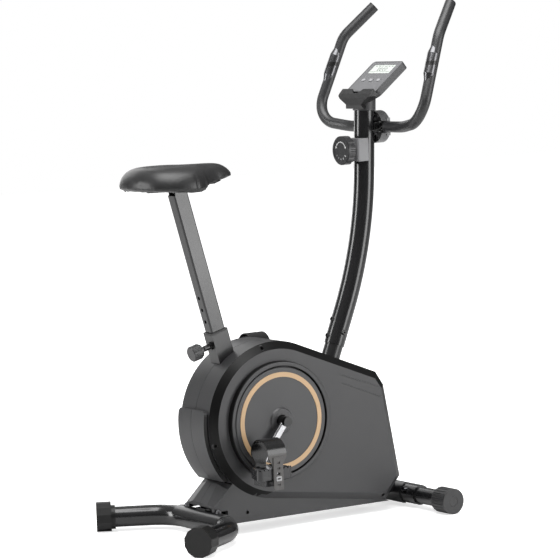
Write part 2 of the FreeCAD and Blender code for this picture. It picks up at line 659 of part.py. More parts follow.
def right_cover():
    patch = cylinder(
        ("0", "-patch_half", "crank_height"), "patch_radius", "patch_half", "y", Angle="patch_sweep",
    )
    patch.Placement = FreeCAD.Placement(
        patch.Placement.Base, Turn(Y, -val("patch_start")).multiply(Turn(X, -90)),
    )
    patch = soften(patch, val("patch_corner"), on_patch_end)
    hoop = cone(("0", "1 - cover_face_half", "crank_height"), "hoop_outer", "hoop_top",
                "hoop_half - cover_face_half + 1", "-y")
    outer = fuse(*cover_volume("0"), patch, hoop)
    hollow = fuse(*cover_volume("sheet_wall"))
    shell = cut(outer, hollow)
    bosses = [
        cylinder((x, f"-{start}", z), "7.5", f"{end} - {start} - 1", "-y") for x, z, start, end in SCREWS
    ]
    tools = []
    for x, z, start, end in SCREWS:
        tools.append(cylinder((x, "0", z), "2.4", "80", "-y"))
        tools.append(cylinder((x, f"-({end} - 8)", z), "4.4", "30", "-y"))
    tools += [
        cylinder(("0", "1", "crank_height"), "axle_hole", "100", "-y"),
        cylinder(("0", "-(disc_half - disc_thick)", "crank_height"), "hoop_inner", "20", "-y"),
        cut(extrude(trunk("-14"), "seam_half", -Y), extrude(trunk("seam_depth"), "seam_half", -Y)),
        slot("184", "353", "150", "2.2", "cover_band_half - 1.2", 19.8),
        slot("190", "331", "150", "2.2", "cover_band_half - 1.2", 21.5),
        box(along_seat("150"), ("sleeve_depth + 2", "sleeve_width + 2", "160"), LEAN_BACK, "xy"),
        cylinder(along_stub("150"), "stub_radius + 1.5", "170", LEAN_STUB.multVec(Z)),
        box(("290", "0", "base_low - 0.5"), ("100", "base_width + 1", "base_height + 1"), centred="y"),
        box(("rear_tube_x - 30", "0", "rear_tube_height + 5"),
            ("100", "2 * recess_half", "riser_top - rear_tube_height"),
            centred="y"),
    ]
    return cut(fuse(shell, *bosses), *tools)


def covers():
    right = keep("cover_right", right_cover())
    keep("cover_left", mirror(right))
    screws = []
    for x, z, start, end in SCREWS:
        shank = cylinder((x, f"-{start}", z), "2.3", f"{end} - 8 - {start}", "-y")
        head = cylinder((x, f"-({end} - 8)", z), "4.2", "3", "-y")
        screws.append(cut(fuse(shank, head), cylinder((x, f"-({end} - 6)", z), "1.6", "3", "-y")))
    row = group(*screws)
    keep("cover_screws", group(row, mirror(row)))


def disc_covers():
    inner = ("0", "-(disc_half - disc_thick)", "crank_height")
    face = ("0", "-disc_half", "crank_height")
    plate = fuse(
        cylinder(inner, "disc_radius", "disc_thick - 1", "-y"),
        cone(("0", "1 - disc_half", "crank_height"), "disc_radius", "disc_radius - 1.5", "1", "-y"),
        cone(face, "collar_radius", "collar_radius - 3", "collar_rise", "-y"),
    )
    right = keep("disc_right", cut(plate, cylinder(("0", "0", "crank_height"), "axle_hole", "100", "-y")))
    keep("disc_left", mirror(right))
    ring = cut(cylinder(face, "ring_radius", "ring_thick", "-y"),
               cylinder(face, "ring_radius - ring_width", "ring_thick", "-y"))
    keep("ring_right", ring)
    keep("ring_left", mirror(ring))


def downhill(x0, z0, x1, z1):
    """The turn of a plane across the bike that runs down and back between two points of its side view."""
    return Turn(Y, 180 - math.degrees(math.atan2(val(f"({z0}) - ({z1})"), val(f"({x0}) - ({x1})"))))


def tail_cover():
    """The hipped cap over the tail: a flat top with a seam, and facets that fall to the deck."""
    x, z = ray("tail_angle", "rim_radius")
    deck = downhill(x, z, "tail_x", "tail_z")
    top = downhill("cap_x", "cap_z", "cap_end_x", "cap_end_z")
    low = sketch([("19", "-60"), ("75.4", "-57"), ("75.4", "57"), ("19", "60")], (x, "0", z), deck)
    high = sketch(
        [("0", "-24"), ("56.5", "-33"), ("56.5", "33"), ("0", "24")], ("cap_x", "0", "cap_z"), top,
    )
    seam = box(("cap_x", "0", "cap_z"), ("90", "0.8", "1"), top, "y")
    keep("tail_cover", cut(loft(low, high), seam))


# ---- cranks and pedals ---------------------------------------------------------------------

def crank_end(side, run="crank_length"):
    """A crank's far end. The right arm points down and back, and the left one the other way."""
    return (
        f"{side} * ({run}) * sin(crank_angle)", "0", f"crank_height + {side} * ({run}) * cos(crank_angle)",
    )


def crank_arm(name, side):
    """side is -1 for the right arm and 1 for the left."""
    lean = Turn(Y, val("crank_angle") + (180 if side < 0 else 0))
    way = "-y" if side < 0 else "y"
    near = f"{side} * arm_inner"
    hub = cylinder(("0", f"{side} * hub_start", "crank_height"), "hub_radius",
        "arm_inner + arm_thick - hub_start", way)
    x, _, z = crank_end(side)
    eye = cylinder((x, near, z), "eye_radius", "arm_thick", way)
    bar = box(("0", f"{side} * (arm_inner + arm_thick / 2)", "crank_height"),
              ("arm_width", "arm_thick", "crank_length"), lean, "xy")
    bar = soften(bar, 4.5, lambda e: e.Length > 100)
    holes = [
        cylinder(("0", "0", "crank_height"), "axle_radius", "150", way),
        cylinder((x, "0", z), "spindle_radius", "150", way),
    ]
    keep(name, cut(fuse(hub, eye, bar), *holes))


def crank_set():
    shaft = cylinder(("0", "-axle_half", "crank_height"), "axle_radius", "2 * axle_half", "y")
    caps = [
        cylinder(("0", f"{side} * axle_half", "crank_height"), "axle_radius + 3", "3", way)
        for side, way in ((-1, "-y"), (1, "y"))
    ]
    keep("crank_axle", fuse(shaft, *caps))
    wheel = cylinder(("0", "-pulley_in", "crank_height"), "drive_radius", "pulley_out - pulley_in", "-y")
    recess = cut(cylinder(("0", "2 - pulley_out", "crank_height"), "drive_radius - 12", "5", "-y"),
                 cylinder(("0", "0", "crank_height"), "24", "60", "-y"))
    holes = [
        cylinder((f"60 * cos({a})", "0", f"crank_height + 60 * sin({a})"), "18", "80", "-y")
        for a in range(0, 360, 60)
    ]
    bore = cylinder(("0", "0", "crank_height"), "axle_radius", "80", "-y")
    keep("drive_pulley", cut(wheel, recess, bore, *holes))
    for name, side in (("right", -1), ("left", 1)):
        crank_arm(f"crank_arm_{name}", side)
        x, _, z = crank_end(side)
        way = "-y" if side < 0 else "y"
        pin = cylinder((x, f"{side} * arm_inner", z), "spindle_radius", "spindle_end - arm_inner", way)
        flange = cylinder((x, f"{side} * (arm_inner + arm_thick)", z), "spindle_radius + 3.5", "4", way)
        keep(f"pedal_spindle_{name}", fuse(pin, flange))
        pedal(name, side, x, z)


def pedal(name, side, x, z):
    """A weighted plastic pedal, wider at its outer end, that hangs level on its spindle."""
    middle = f"{side} * (pedal_inner + pedal_outer) / 2"
    top, low = f"{z} + pedal_height / 2", f"{z} - pedal_height / 2"
    near, far = f"{side} * pedal_inner", f"{side} * pedal_outer"
    plan = sketch([("-pedal_half_in", near), ("pedal_half_in", near), ("pedal_half_out", far),
        ("-pedal_half_out", far)],
                  (x, "0", low), Turn())
    body = soften(extrude(plan, "pedal_height", Z), 10.0, lambda e: e.BoundBox.ZLength > 20)
    weight = box((x, middle, f"{low} - pedal_weight"), ("50", "46", "pedal_weight + 5"), centred="xy")
    windows = [
        box((f"{x} + {d}", middle, z), ("13", "44", "40"), centred="xyz") for d in (-21, 21)
    ]
    treads = []
    for i in range(-4, 5):
        if i in (-1, 0, 1):
            continue
        treads.append(box((f"{x} + {i} * tread_pitch", middle, top), ("4", "80", "5"), centred="xyz"))
    ends = [box((x, f"{side} * {y}", top), ("120", "4", "5"), centred="xyz") for y in (130, 152, 174)]
    bore = cylinder((x, "0", z), "spindle_radius + fit_gap", "250", "y" if side > 0 else "-y")
    keep(f"pedal_{name}", cut(fuse(cut(body, *windows), weight), bore, *treads, *ends))
    strap(name, side, x, z, middle)


def strap(name, side, x, z, middle):
    """The toe strap: a wide hoop that narrows to its two ends, with a punched tail down the outer side."""
    sx = f"{x} + strap_x"
    half = "(pedal_outer - pedal_inner) / 2 + strap_gap"
    arch = f"{z} + pedal_height / 2 + strap_rise"
    begin = (f"{sx} - strap_width / 2", middle, arch)
    hoop = cut(
        cylinder(begin, f"{half} + strap_thick", "strap_width", "x"),
        cylinder(begin, half, "strap_width", "x"),
        box((sx, middle, f"{arch} - 120"), ("60", "200", "120"), centred="xy"),
    )
    leg = "strap_rise + pedal_height"
    legs = [
        box((sx, f"{middle} + {s} * ({half} + strap_thick / 2)", f"{arch} - ({leg})"),
            ("strap_width", "strap_thick", leg), centred="xy")
        for s in (-1, 1)
    ]
    waist, wide, neck = f"{z} + pedal_height", "strap_width / 2", "strap_neck / 2"
    shape = sketch(
        [(f"-({wide})", "300"), (wide, "300"), (wide, "14"), (neck, "-4"), (neck, "-100"),
            (f"-({neck})", "-100"),
         (f"-({neck})", "-4"), (f"-({wide})", "14")],
        (sx, "300", waist))
    band = common(fuse(hoop, *legs), extrude(shape, "600", -Y))
    skin = f"{side} * (pedal_outer + strap_gap + 1.5 * strap_thick)"
    tail = box(
        (sx, skin, f"{z} - tail_drop"), ("strap_neck - 3", "strap_thick", "tail_drop + 40"), centred="xy",
    )
    slots = [
        box((sx, skin, f"{z} - tail_drop + 10 + {k} * hole_step"), ("9", "10", "5"),
            centred="xy") for k in range(5)
    ]
    eye = cylinder((x, "0", z), "spindle_radius + 4", "250", "y" if side > 0 else "-y")
    keep(f"strap_{name}", fuse(cut(band, eye), cut(tail, *slots)))


def flywheel():
    at = ("flywheel_x", "flywheel_in", "flywheel_z")
    disc = cylinder(at, "flywheel_radius", "flywheel_out - flywheel_in", "y")
    hub = cylinder(("flywheel_x", "-pulley_out - 1.2", "flywheel_z"), "wheel_hub_radius",
                   "pulley_out + flywheel_out + 3.2", "y")
    pulley = cylinder(
        ("flywheel_x", "-pulley_out", "flywheel_z"), "small_radius", "pulley_out - pulley_in", "y",
    )
    flanges = [
        cylinder(("flywheel_x", y, "flywheel_z"), "small_radius + 3", "1.2", "y")
        for y in ("-pulley_out - 1.2", "-pulley_in")
    ]
    bore = cylinder(("flywheel_x", "-wheel_axle_half", "flywheel_z"), "wheel_axle_radius + fit_gap",
                    "2 * wheel_axle_half", "y")
    keep("flywheel", cut(fuse(disc, hub, pulley, *flanges), bore))
    keep("flywheel_axle", cylinder(("flywheel_x", "-wheel_axle_half", "flywheel_z"), "wheel_axle_radius",
                                   "2 * wheel_axle_half", "y"))


def drive_belt():
    """The open belt round both pulleys, on their common tangents and 0.3 mm clear of them."""
    width = "pulley_out - pulley_in - 2"
    dx, dz = val("flywheel_x"), val("flywheel_z - crank_height")
    run, gap = math.hypot(dx, dz), 0.3
    heading = math.atan2(dz, dx)

    def loop(extra):
        big, small = val("drive_radius") + gap + extra, val("small_radius") + gap + extra
        spread = math.acos((big - small) / run)
        z0 = val("crank_height")

        def on(cx, cz, r, a):
            return V(cx + r * math.cos(a), 0, cz + r * math.sin(a))

        a, b = heading + spread, heading - spread
        top = on(0, z0, big, a), on(dx, z0 + dz, small, a)
        low = on(dx, z0 + dz, small, b), on(0, z0, big, b)
        edges = [
            Part.LineSegment(*top).toShape(),
            Part.Arc(top[1], on(dx, z0 + dz, small, heading), low[0]).toShape(),
            Part.LineSegment(*low).toShape(),
            Part.Arc(low[1], on(0, z0, big, heading + math.pi), top[0]).toShape(),
        ]
        return Part.Face(Part.Wire(edges)).extrude(V(0, -val(width), 0))

    belt = doc.addObject("Part::Feature", "belt")
    belt.Shape = loop(val("belt_thick")).cut(loop(0))
    put(belt, ("0", "-pulley_in - 1", "0"))
    keep("drive_belt", belt)


def magnet_arm():
    """A curved shoe of magnets in front of the flywheel's rim, swung away from it by the tension knob."""
    at = ("flywheel_x", "flywheel_in", "flywheel_z")
    inner = "flywheel_radius + magnet_air"
    shoe = cut(
        cylinder(at, f"{inner} + magnet_thick", "flywheel_out - flywheel_in", "y"),
        cylinder(at, inner, "flywheel_out - flywheel_in", "y"),
        box(("flywheel_x - 200", "0", "0"), ("200 + 60", "100", "400")),
        box(("flywheel_x", "0", "flywheel_z + magnet_reach * sin(28)"), ("200", "100", "200")),
        box(("flywheel_x", "0", "0"), ("200", "100", "flywheel_z + magnet_reach * sin(magnet_angle - 6)")),
    )
    x, z = magnet_pivot()
    eye = cylinder((x, "flywheel_in", z), "9", "flywheel_out - flywheel_in", "y")
    clear = cylinder(at, inner, "flywheel_out - flywheel_in", "y")
    bore = cylinder((x, "0", z), "magnet_pin + fit_gap", "100", "y")
    keep("magnet_arm", cut(fuse(shoe, eye), clear, bore))


# ---- tension control -----------------------------------------------------------------------

def tension_control():
    block = box(("neck_end - 2", "0", "knob_z"),
        ("block_front - neck_end + 2", "2 * block_half", "block_height"),
                centred="yz")
    block = soften(block, 5.0, lambda e: e.BoundBox.ZLength > 50)
    neck = box(("knob_x + knob_thick + knob_gap", "0", "knob_z"),
               ("neck_end - knob_x - knob_thick - knob_gap", "30", "34"), centred="yz")
    ribs = [
        box(("knob_x + knob_thick + 3", "0", f"knob_z + {h}"),
            ("neck_end - knob_x - knob_thick - 3", "36", "5"),
            centred="yz")
        for h in (-12, 0, 12)
    ]
    spindle = cylinder(("knob_x + knob_thick", "0", "knob_z"), "5 + fit_gap", "12", "x")
    keep("tension_bracket", cut(fuse(block, neck, *ribs), spindle, rod(upright_route(), "upright_radius")))
    face = cylinder(("knob_x", "0", "knob_z"), "knob_radius - 2", "2", "x")
    body = cylinder(("knob_x + 2", "0", "knob_z"), "knob_radius", "knob_thick - 2", "x")
    flutes = []
    for i in range(12):
        y, z = f"(knob_radius + 3) * cos({30 * i})", f"knob_z + (knob_radius + 3) * sin({30 * i})"
        flutes.append(cylinder(("knob_x + 5", y, z), "5", "knob_thick", "x"))
    dish = cylinder(("knob_x", "0", "knob_z"), "knob_radius - 7", "1", "x")
    stem = cylinder(("knob_x + knob_thick", "0", "knob_z"), "5", "10", "x")
    keep("tension_knob", fuse(cut(fuse(face, body), dish, *flutes), stem))


# ---- console -------------------------------------------------------------------------------

PANEL = Turn(Y, -val("console_lean"))


def on_panel(along, across="0", above="0"):
    """A point on the console: along its face from the lower edge, across it, and above its face."""
    return (
        f"console_x + ({along}) * cos(console_lean) - ({above}) * sin(console_lean)",
        across,
        f"console_z + ({along}) * sin(console_lean) + ({above}) * cos(console_lean)",
    )


def panel_box(along, across, length, width, low, high):
    return box(on_panel(along, across, low), (length, width, f"({high}) - ({low})"), PANEL, "xy")


def post_socket():
    """The console's round socket, which slips over the top of the post."""
    at = ("upright_top_x - 28 * tan(socket_lean)", "0", "upright_top_z - 28")
    way = V(math.tan(math.radians(val("socket_lean"))), 0, 1)
    return cylinder(at, "upright_radius + 3", "74", way)


def console():
    middle = "console_length / 2"
    lens_at = "console_length - lens_from_top"
    slab = panel_box(middle, "0", "console_length", "2 * console_half", "-console_thick", "0")
    slab = soften(slab, 10.0, lambda e: len(e.Vertexes) == 2 and abs(
        (e.Vertexes[0].Point - e.Vertexes[1].Point).Length - val("console_thick")) < 0.1)
    above = panel_box(middle, "0", "300", "300", "-3", "100")
    recess = panel_box(middle, "0", "console_length - 7", "2 * console_half - 7", "-2", "1")
    rows = [("button_row", f"{k} * button_pitch") for k in (-1, 0, 1)]
    wells = [
        panel_box(along, y, "button_height + 0.6", "button_length + 0.6", "-9", "1") for along, y in rows
    ]
    post = rod(upright_route(), "upright_radius")
    keep("console_shell", cut(fuse(slab, cut(post_socket(), above)), recess, post, *wells))
    plate = panel_box(middle, "0", "console_length - 7", "2 * console_half - 7", "-2", "0")
    window = panel_box(lens_at, "0", "lens_height", "2 * lens_half", "-3", "1")
    keep("console_bezel", cut(plate, window, *wells))
    keep("console_lens", panel_box(lens_at, "0", "lens_height", "2 * lens_half", "-2", "-0.6"))
    for name, (along, y) in zip(("right", "middle", "left"), rows):
        keep(f"button_{name}", panel_box(along, y, "button_height", "button_length", "-6", "button_rise"))


def ledge():
    """The soft chin under the console: a lip that holds a tablet, wrapped round the post's top."""
    side = sketch(
        [("339", "1055"), ("333", "1050"), ("314", "1030"), ("307", "1018"), ("309", "1002"), ("313", "993"),
         ("320", "993"), ("326", "1012"), ("338", "1027"), ("352", "1040")],
        ("0", "ledge_half", "0"),
    )
    cradle = sketch(
        [("322", "1013"), ("330", "1009"), ("354", "1029"), ("352", "1039"), ("336", "1031")],
        ("0", "cradle_half", "0"),
    )
    body = soften(extrude(side, "2 * ledge_half", -Y), 3.0, lambda e: e.BoundBox.YLength > 100)
    ends = [
        box(("290", f"{side_way} * (ledge_half + 4)", "980"), ("60", "40", "40"), Turn(X, side_way * 32), "y")
        for side_way in (-1, 1)
    ]
    slab = panel_box(
        "console_length / 2", "0", "console_length + 0.1", "2 * console_half + 8", "-console_thick", "60",
    )
    keep("console_ledge", cut(fuse(body, extrude(cradle, "2 * cradle_half", -Y)), slab, post_socket(), *ends))


def eased(points):
    """Arc radii for a limp lead: each arc takes 0.45 of the shorter run beside its corner."""
    p = [V(*[val(c) for c in q]) for q in points]
    radii = []
    for a, b, c in zip(p, p[1:], p[2:]):
        before, after = b - a, c - b
        shorter = min(before.Length, after.Length)
        radii.append(0.45 * shorter / math.tan(before.getAngle(after) / 2))
    return radii


WIRE = [
    ("bar_x - 36", "-21", "bar_z - 8"),
    ("bar_x - 20", "-26", "bar_z - 8"),
    ("bar_x - 14", "-37", "bar_z - 2"),
    ("bar_x - 4", "-38", "bar_z + 5"),
]


def wire_route():
    return path(WIRE, [str(r) for r in eased(WIRE)])


def pulse_wire():
    """The short lead from the handlebar into the post."""
    keep("pulse_wire", rod(wire_route(), "wire_radius"))
    print("pulse_wire arc radii:", [round(r, 2) for r in eased(WIRE)])


# ---- handlebar -----------------------------------------------------------------------------

def bar_points(side):
    return [
        ("bar_x", f"{side} * elbow_y", "bar_z"),
        ("corner_x", f"{side} * corner_y", "corner_z"),
        ("reach_x", f"{side} * reach_y", "reach_z"),
        ("tip_x", f"{side} * tip_y", "tip_z"),
    ]


def handlebar():
    radii = ["elbow_radius", "corner_radius", "reach_radius"]
    whole = path(bar_points(-1)[::-1] + bar_points(1), radii[::-1] + radii)
    wire_slot = box(("bar_x - 12.5", "-37.6", "bar_z - 5"), ("6.5", "4.4", "11.4"), centred="y")
    keep("handlebar_tube", cut(rod(whole, "bar_radius"), rod(whole, "bar_radius - 1.6"), wire_slot))
    half = path([("bar_x", "grip_start", "bar_z"), *bar_points(1)], radii)
    left = keep("grip_left", cut(rod(half, "grip_radius"), rod(half, "bar_radius")))
    keep("grip_right", mirror(left))

    _, corner, reach, tip = [V(*[val(c) for c in p]) for p in bar_points(1)]
    way = (tip - reach).normalize()
    stem = cylinder(("tip_x", "tip_y", "tip_z"), "bar_radius - 1.6", "plug_depth", -way)
    rim = cylinder(("tip_x", "tip_y", "tip_z"), "grip_radius", "plug_rim", way)
    left = keep("plug_left", fuse(stem, rim))
    keep("plug_right", mirror(left))

    way = (reach - corner).normalize()
    x, y, z = (f"{a} + sensor_middle * ({b} - {a})" for a, b in
               (("corner_x", "reach_x"), ("corner_y", "reach_y"), ("corner_z", "reach_z")))

    def station(shift, radius, height, kind=cylinder, **end):
        at = (f"{x} - sensor_offset + {way.x * shift:.4f}", f"{y} + {way.y * shift:.4f}",
            f"{z} + {way.z * shift:.4f}")
        return kind(at, *radius, height, way)

    long = val("sensor_length")
    shell = fuse(
        station(-long / 2, ("sensor_end", "sensor_radius"), "18", cone),
        station(18 - long / 2, ("sensor_radius",), "sensor_length - 36"),
        station(long / 2 - 18, ("sensor_radius", "sensor_end"), "18", cone),
    )
    left = keep(
        "pulse_left", cut(shell, rod(path([bar_points(1)[1], bar_points(1)[2]], []), "grip_radius")),
    )
    keep("pulse_right", mirror(left))


def clamp():
    at = ("bar_x", "-clamp_half", "bar_z")
    barrel = cylinder(at, "bar_radius + 4", "2 * clamp_half", "y")
    arm = box(("bar_x - 30", "0", "bar_z"), ("26", "2 * clamp_half - 8", "24"), centred="yz")
    bore = cylinder(at, "bar_radius + fit_gap", "2 * clamp_half", "y")
    keep("handlebar_clamp", cut(fuse(barrel, arm), bore, rod(upright_route(), "upright_radius")))
    depth = "clamp_cover_front - clamp_cover_rear"
    shell = cut(
        fuse(cylinder(("clamp_cover_rear", "0", "bar_z"), "clamp_cover_radius", f"{depth} - 3", "x"),
             cone(("clamp_cover_front - 3", "0", "bar_z"), "clamp_cover_radius",
                 "clamp_cover_radius - 3", "3", "x")),
        cylinder(("clamp_cover_rear - 1", "0", "bar_z"), "clamp_cover_radius - 2.6", f"{depth} - 1.4", "x"),
        cylinder(("bar_x", "-60", "bar_z"), "grip_radius + 1.2", "120", "y"),
        box(("bar_x - 30", "-60", "bar_z"), ("30", "120", "2 * grip_radius + 2.4"), centred="z"),
    )
    inside = cylinder(("bar_x", "-27", "bar_z"), "bar_radius + 4.2", "54", "y")
    lugs = box(("clamp_cover_front - 12", "0", "bar_z"), ("10", "74", "44"), centred="yz")
    hold = cut(lugs, inside, cylinder(("bar_x", "-60", "bar_z"), "grip_radius + 1.2", "120", "y"))
    keep("clamp_cover", cut(fuse(shell, hold), rod(upright_route(), "upright_radius + 0.2")))


# ---- seat ----------------------------------------------------------------------------------

def seat_post():
    foot = along_seat("seat_post_length - seat_post_above")
    outer = box(foot, ("post_depth", "post_width", "seat_post_length"), LEAN_BACK, "xy")
    outer = soften(outer, val("post_round"), lambda e: e.Length > 500)
    inner = box(foot, ("post_depth - 4", "post_width - 4", "seat_post_length - 4"), LEAN_BACK, "xy")
    holes = [
        cylinder(along_seat(f"pin_height_drop - {k} * hole_pitch", "post_depth / 2 - 5"),
            "pin_hole_radius", "12",
                 PIN_OUT)
        for k in range(-4, 5)
    ]
    x, _, z = along_seat("-seat_post_above")
    ears = [
        box((x, f"{side} * 13.5", f"{z} - 10"), ("30", "3", f"tilt_z - ({z}) + 15"),
            centred="xy") for side in (-1, 1)
    ]
    bolt = cylinder((tilt_x(), "-19", "tilt_z"), "4", "38", "y")
    nuts = [cylinder((tilt_x(), f"{side} * 15", "tilt_z"), "7", "5", way) for side,
        way in ((-1, "-y"), (1, "y"))]
    keep("seat_post", fuse(cut(outer, inner, *holes), *ears, bolt, *nuts))


def tilt_x():
    return "sleeve_x - (tilt_z - sleeve_top) * tan(seat_lean)"


OUTLINE = [(0.0, 0.0), (0.02, 0.38), (0.075, 0.70), (0.18, 0.91), (0.31, 0.995), (0.40, 1.0), (0.485, 0.92),
           (0.57, 0.71), (0.66, 0.50), (0.78, 0.37), (0.90, 0.29), (0.97, 0.18), (1.0, 0.0)]


def saddle_plan(inset, low):
    """The saddle's outline from above as one smooth closed curve, given as shares of its length and width."""
    rear, nose, half = val("saddle_rear"), val("saddle_nose"), val("saddle_half")
    length = nose - rear - 2 * inset
    around = OUTLINE + [(k, -f) for k, f in OUTLINE[-2:0:-1]]
    points = [V(rear + inset + k * length, f * (half - inset), low) for k, f in around]
    curve = Part.BSplineCurve()
    curve.interpolate(Points=points, PeriodicFlag=True)
    return Part.Face(Part.Wire(curve.toShape()))


def nose_wedge():
    """What is taken off the saddle's underside so that it thins toward the nose."""
    return extrude(sketch(
        [("-210", "saddle_low - 5"), ("-30", "saddle_low - 5"), ("-30", "saddle_low + 40"),
         ("-80", "saddle_low + 33"), ("-210", "saddle_low")], ("0", "150", "0")), "300", -Y)


# height above the saddle's lower edge, and how far in from its outline
SADDLE_LAYERS = ((0, 2), (12, 0), (30, 3), (46, 11), (58, 24), (65, 42), (67, 60))


def saddle():
    """The padded saddle as one soft block, hollow underneath, and the pan that carries it."""
    low = val("saddle_low")
    layers = [saddle_plan(inset, low + rise).OuterWire for rise, inset in SADDLE_LAYERS]
    block = doc.addObject("Part::Feature", "cushion_block")
    block.Shape = Part.makeLoft(layers, True, False)
    pocket = doc.addObject("Part::Feature", "cushion_pocket")
    pocket.Shape = saddle_plan(val("saddle_skin"), low - 1).extrude(V(0, 0, val("saddle_pocket") + 1))
    rear_cut = extrude(sketch(
        [("-360", "saddle_low - 5"), ("-245", "saddle_low - 5"), ("-245", "saddle_low"),
         ("-360", "saddle_low + 14")], ("0", "150", "0")), "300", -Y)
    keep("saddle_cushion", cut(block, pocket, nose_wedge(), rear_cut))

    pan = doc.addObject("Part::Feature", "pan")
    pan_low = low + val("saddle_pocket - pan_thick")
    pan.Shape = saddle_plan(val("saddle_skin") + 0.5, pan_low).extrude(V(0, 0, val("pan_thick")))
    lug = box((tilt_x(), "0", "tilt_z - tilt_radius"),
        ("18", "23", "saddle_low + saddle_pocket - tilt_z + tilt_radius - 1"),
              centred="xy")
    ears = [
        box((tilt_x(), f"{side} * 16.5", "tilt_z - 20"), ("46", "9.2", "40"), centred="xy") for side in (
            -1, 1,
        )
    ]
    bore = cylinder((tilt_x(), "-20", "tilt_z"), "4 + fit_gap", "40", "y")
    keep("saddle_pan", cut(fuse(cut(pan, *ears), lug), bore, nose_wedge()))


def pin_knob():
    """The sprung pull pin that locks the seat post, with its knurled grip."""
    reach = "post_depth / 2 + post_gap + 0.3"
    shank = cylinder(
        along_seat("pin_height_drop", reach), "pin_radius", f"pin_knob_far - ({reach})", PIN_OUT,
    )
    knob = fuse(
        cylinder(along_seat("pin_height_drop", "pin_knob_near + 1"), "pin_knob_radius - 3", "5", PIN_OUT),
        cylinder(along_seat("pin_height_drop", "pin_knob_near + 6"), "pin_knob_radius",
                 "pin_knob_far - pin_knob_near - 8", PIN_OUT),
        cone(along_seat("pin_height_drop", "pin_knob_far - 2"), "pin_knob_radius",
            "pin_knob_radius - 2", "2", PIN_OUT),
    )
    axis_at = along_seat("pin_height_drop", "pin_knob_near + 6")
    up = LEAN_BACK.multVec(Z)
    flutes = []
    for i in range(24):
        a = math.radians(15 * i)
        off = (up * math.cos(a) + Y * math.sin(a)) * (val("pin_knob_radius") + 0.8)
        at = [f"{c} + {d:.4f}" for c, d in zip(axis_at, off)]
        flutes.append(cylinder(at, "1.6", "pin_knob_far - pin_knob_near", PIN_OUT))
    keep("pin_knob", fuse(shank, cut(knob, *flutes)))


# ---- assembly ------------------------------------------------------------------------------

rear_stabiliser()
for cap_name, cap_side in (("rear_cap_right", -1), ("rear_cap_left", 1)):
    rear_cap(cap_name, cap_side)
front_stabiliser()
front_wheel("front_wheel_right", -1, "-y")
front_wheel("front_wheel_left", 1, "y")
floor_bolts()
main_frame()
sleeve_collar()
front_post()
post_bolts()
covers()
disc_covers()
tail_cover()
crank_set()
flywheel()
drive_belt()
magnet_arm()
tension_control()
console()
ledge()
pulse_wire()
handlebar()
clamp()
seat_post()
saddle()
pin_knob()

doc.recompute()
broken = [o.Label for o in doc.Objects if {"Invalid", "Error"} & set(o.State)]
broken += [name for name, o in nodes.items() if o.Shape.isNull() or not o.Shape.isValid()]
if broken:
    raise RuntimeError("failed: " + ", ".join(broken))

os.makedirs("parts", exist_ok=True)
shift = V(val("origin_shift"), 0, 0)
for name, obj in nodes.items():
    shape = obj.Shape.copy()
    shape.translate(shift)
    shape.exportStep(f"parts/{name}.step")
print(len(nodes), "nodes")
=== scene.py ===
import json
import math
import bmesh
import bpy
from mathutils import Matrix, Vector


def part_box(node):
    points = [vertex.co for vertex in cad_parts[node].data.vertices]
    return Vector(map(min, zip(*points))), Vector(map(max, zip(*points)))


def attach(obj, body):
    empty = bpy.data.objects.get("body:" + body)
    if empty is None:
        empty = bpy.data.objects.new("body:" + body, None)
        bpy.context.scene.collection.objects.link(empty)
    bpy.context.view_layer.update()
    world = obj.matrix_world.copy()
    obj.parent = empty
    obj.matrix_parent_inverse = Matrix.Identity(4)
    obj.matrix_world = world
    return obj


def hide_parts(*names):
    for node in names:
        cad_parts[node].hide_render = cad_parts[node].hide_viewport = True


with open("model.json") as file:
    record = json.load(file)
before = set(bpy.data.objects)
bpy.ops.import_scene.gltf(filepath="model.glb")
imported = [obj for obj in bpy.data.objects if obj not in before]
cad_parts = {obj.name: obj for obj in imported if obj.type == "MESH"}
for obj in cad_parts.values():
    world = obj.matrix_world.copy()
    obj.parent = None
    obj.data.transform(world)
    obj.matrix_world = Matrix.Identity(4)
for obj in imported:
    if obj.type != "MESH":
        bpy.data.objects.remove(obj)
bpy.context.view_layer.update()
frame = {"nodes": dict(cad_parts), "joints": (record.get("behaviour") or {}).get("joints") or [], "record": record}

# The looks of an upright exercise bike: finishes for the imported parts, and the soft and fine pieces on them.
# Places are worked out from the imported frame; at() takes millimetres measured from the crank axis.

JOINTS = {j["name"]: j for j in frame["joints"]}
NODES = frame["nodes"]
CRANK_X, _, AXIS_Z = JOINTS["crank_spin"]["pos_m"]
Y, Z = Vector((0, 1, 0)), Vector((0, 0, 1))
SIDES = (("right", -1), ("left", 1))

# camera: millimetres from the crank axis, degrees, millimetres of lens
EYE = (-3599, -5442, 1231)
YAW, PITCH, ROLL = 56.003, -5.567, -2.273
LENS, SENSOR = 174.97, 36.0

# name, place, aim, size in metres, power in watts
LIGHTS = (
    ("top", (-0.5, -0.6, 3.6), (0, 0, 0.5), (2.8, 2.8), 150),
    ("right_bank", (2.3, -3.5, 1.2), (0, 0, 0.6), (1.8, 3.0), 92),
    ("left_bank", (-4.0, 1.7, 1.3), (0, 0, 0.6), (1.2, 3.0), 100),
    ("far_bank", (0.6, 4.2, 1.8), (0, 0, 0.6), (2.4, 2.4), 40),
)
FLOOR_HALF, FLOOR_DROP = 12.0, 0.0004

# the cover, in metres from the bike's middle plane or from the crank axis
# the BAND_ and PATCH_ values pick the cover faces that take painted shade
BAND_NEAR, BAND_FAR, BAND_LOW = 0.0612, 0.0764, 0.09
PATCH_NEAR, PATCH_FAR, PATCH_RADIUS = 0.0560, 0.0580, 0.190
HUB_RADIUS = 0.0155
TAIL_SKIN = 0.0029

# saddle: remesh size, cloth pressure, steps and the furthest a point may swell
VOXEL, PRESSURE, SWELL_STEPS, SWELL_CAP = 0.005, 4.0, 20, 0.005

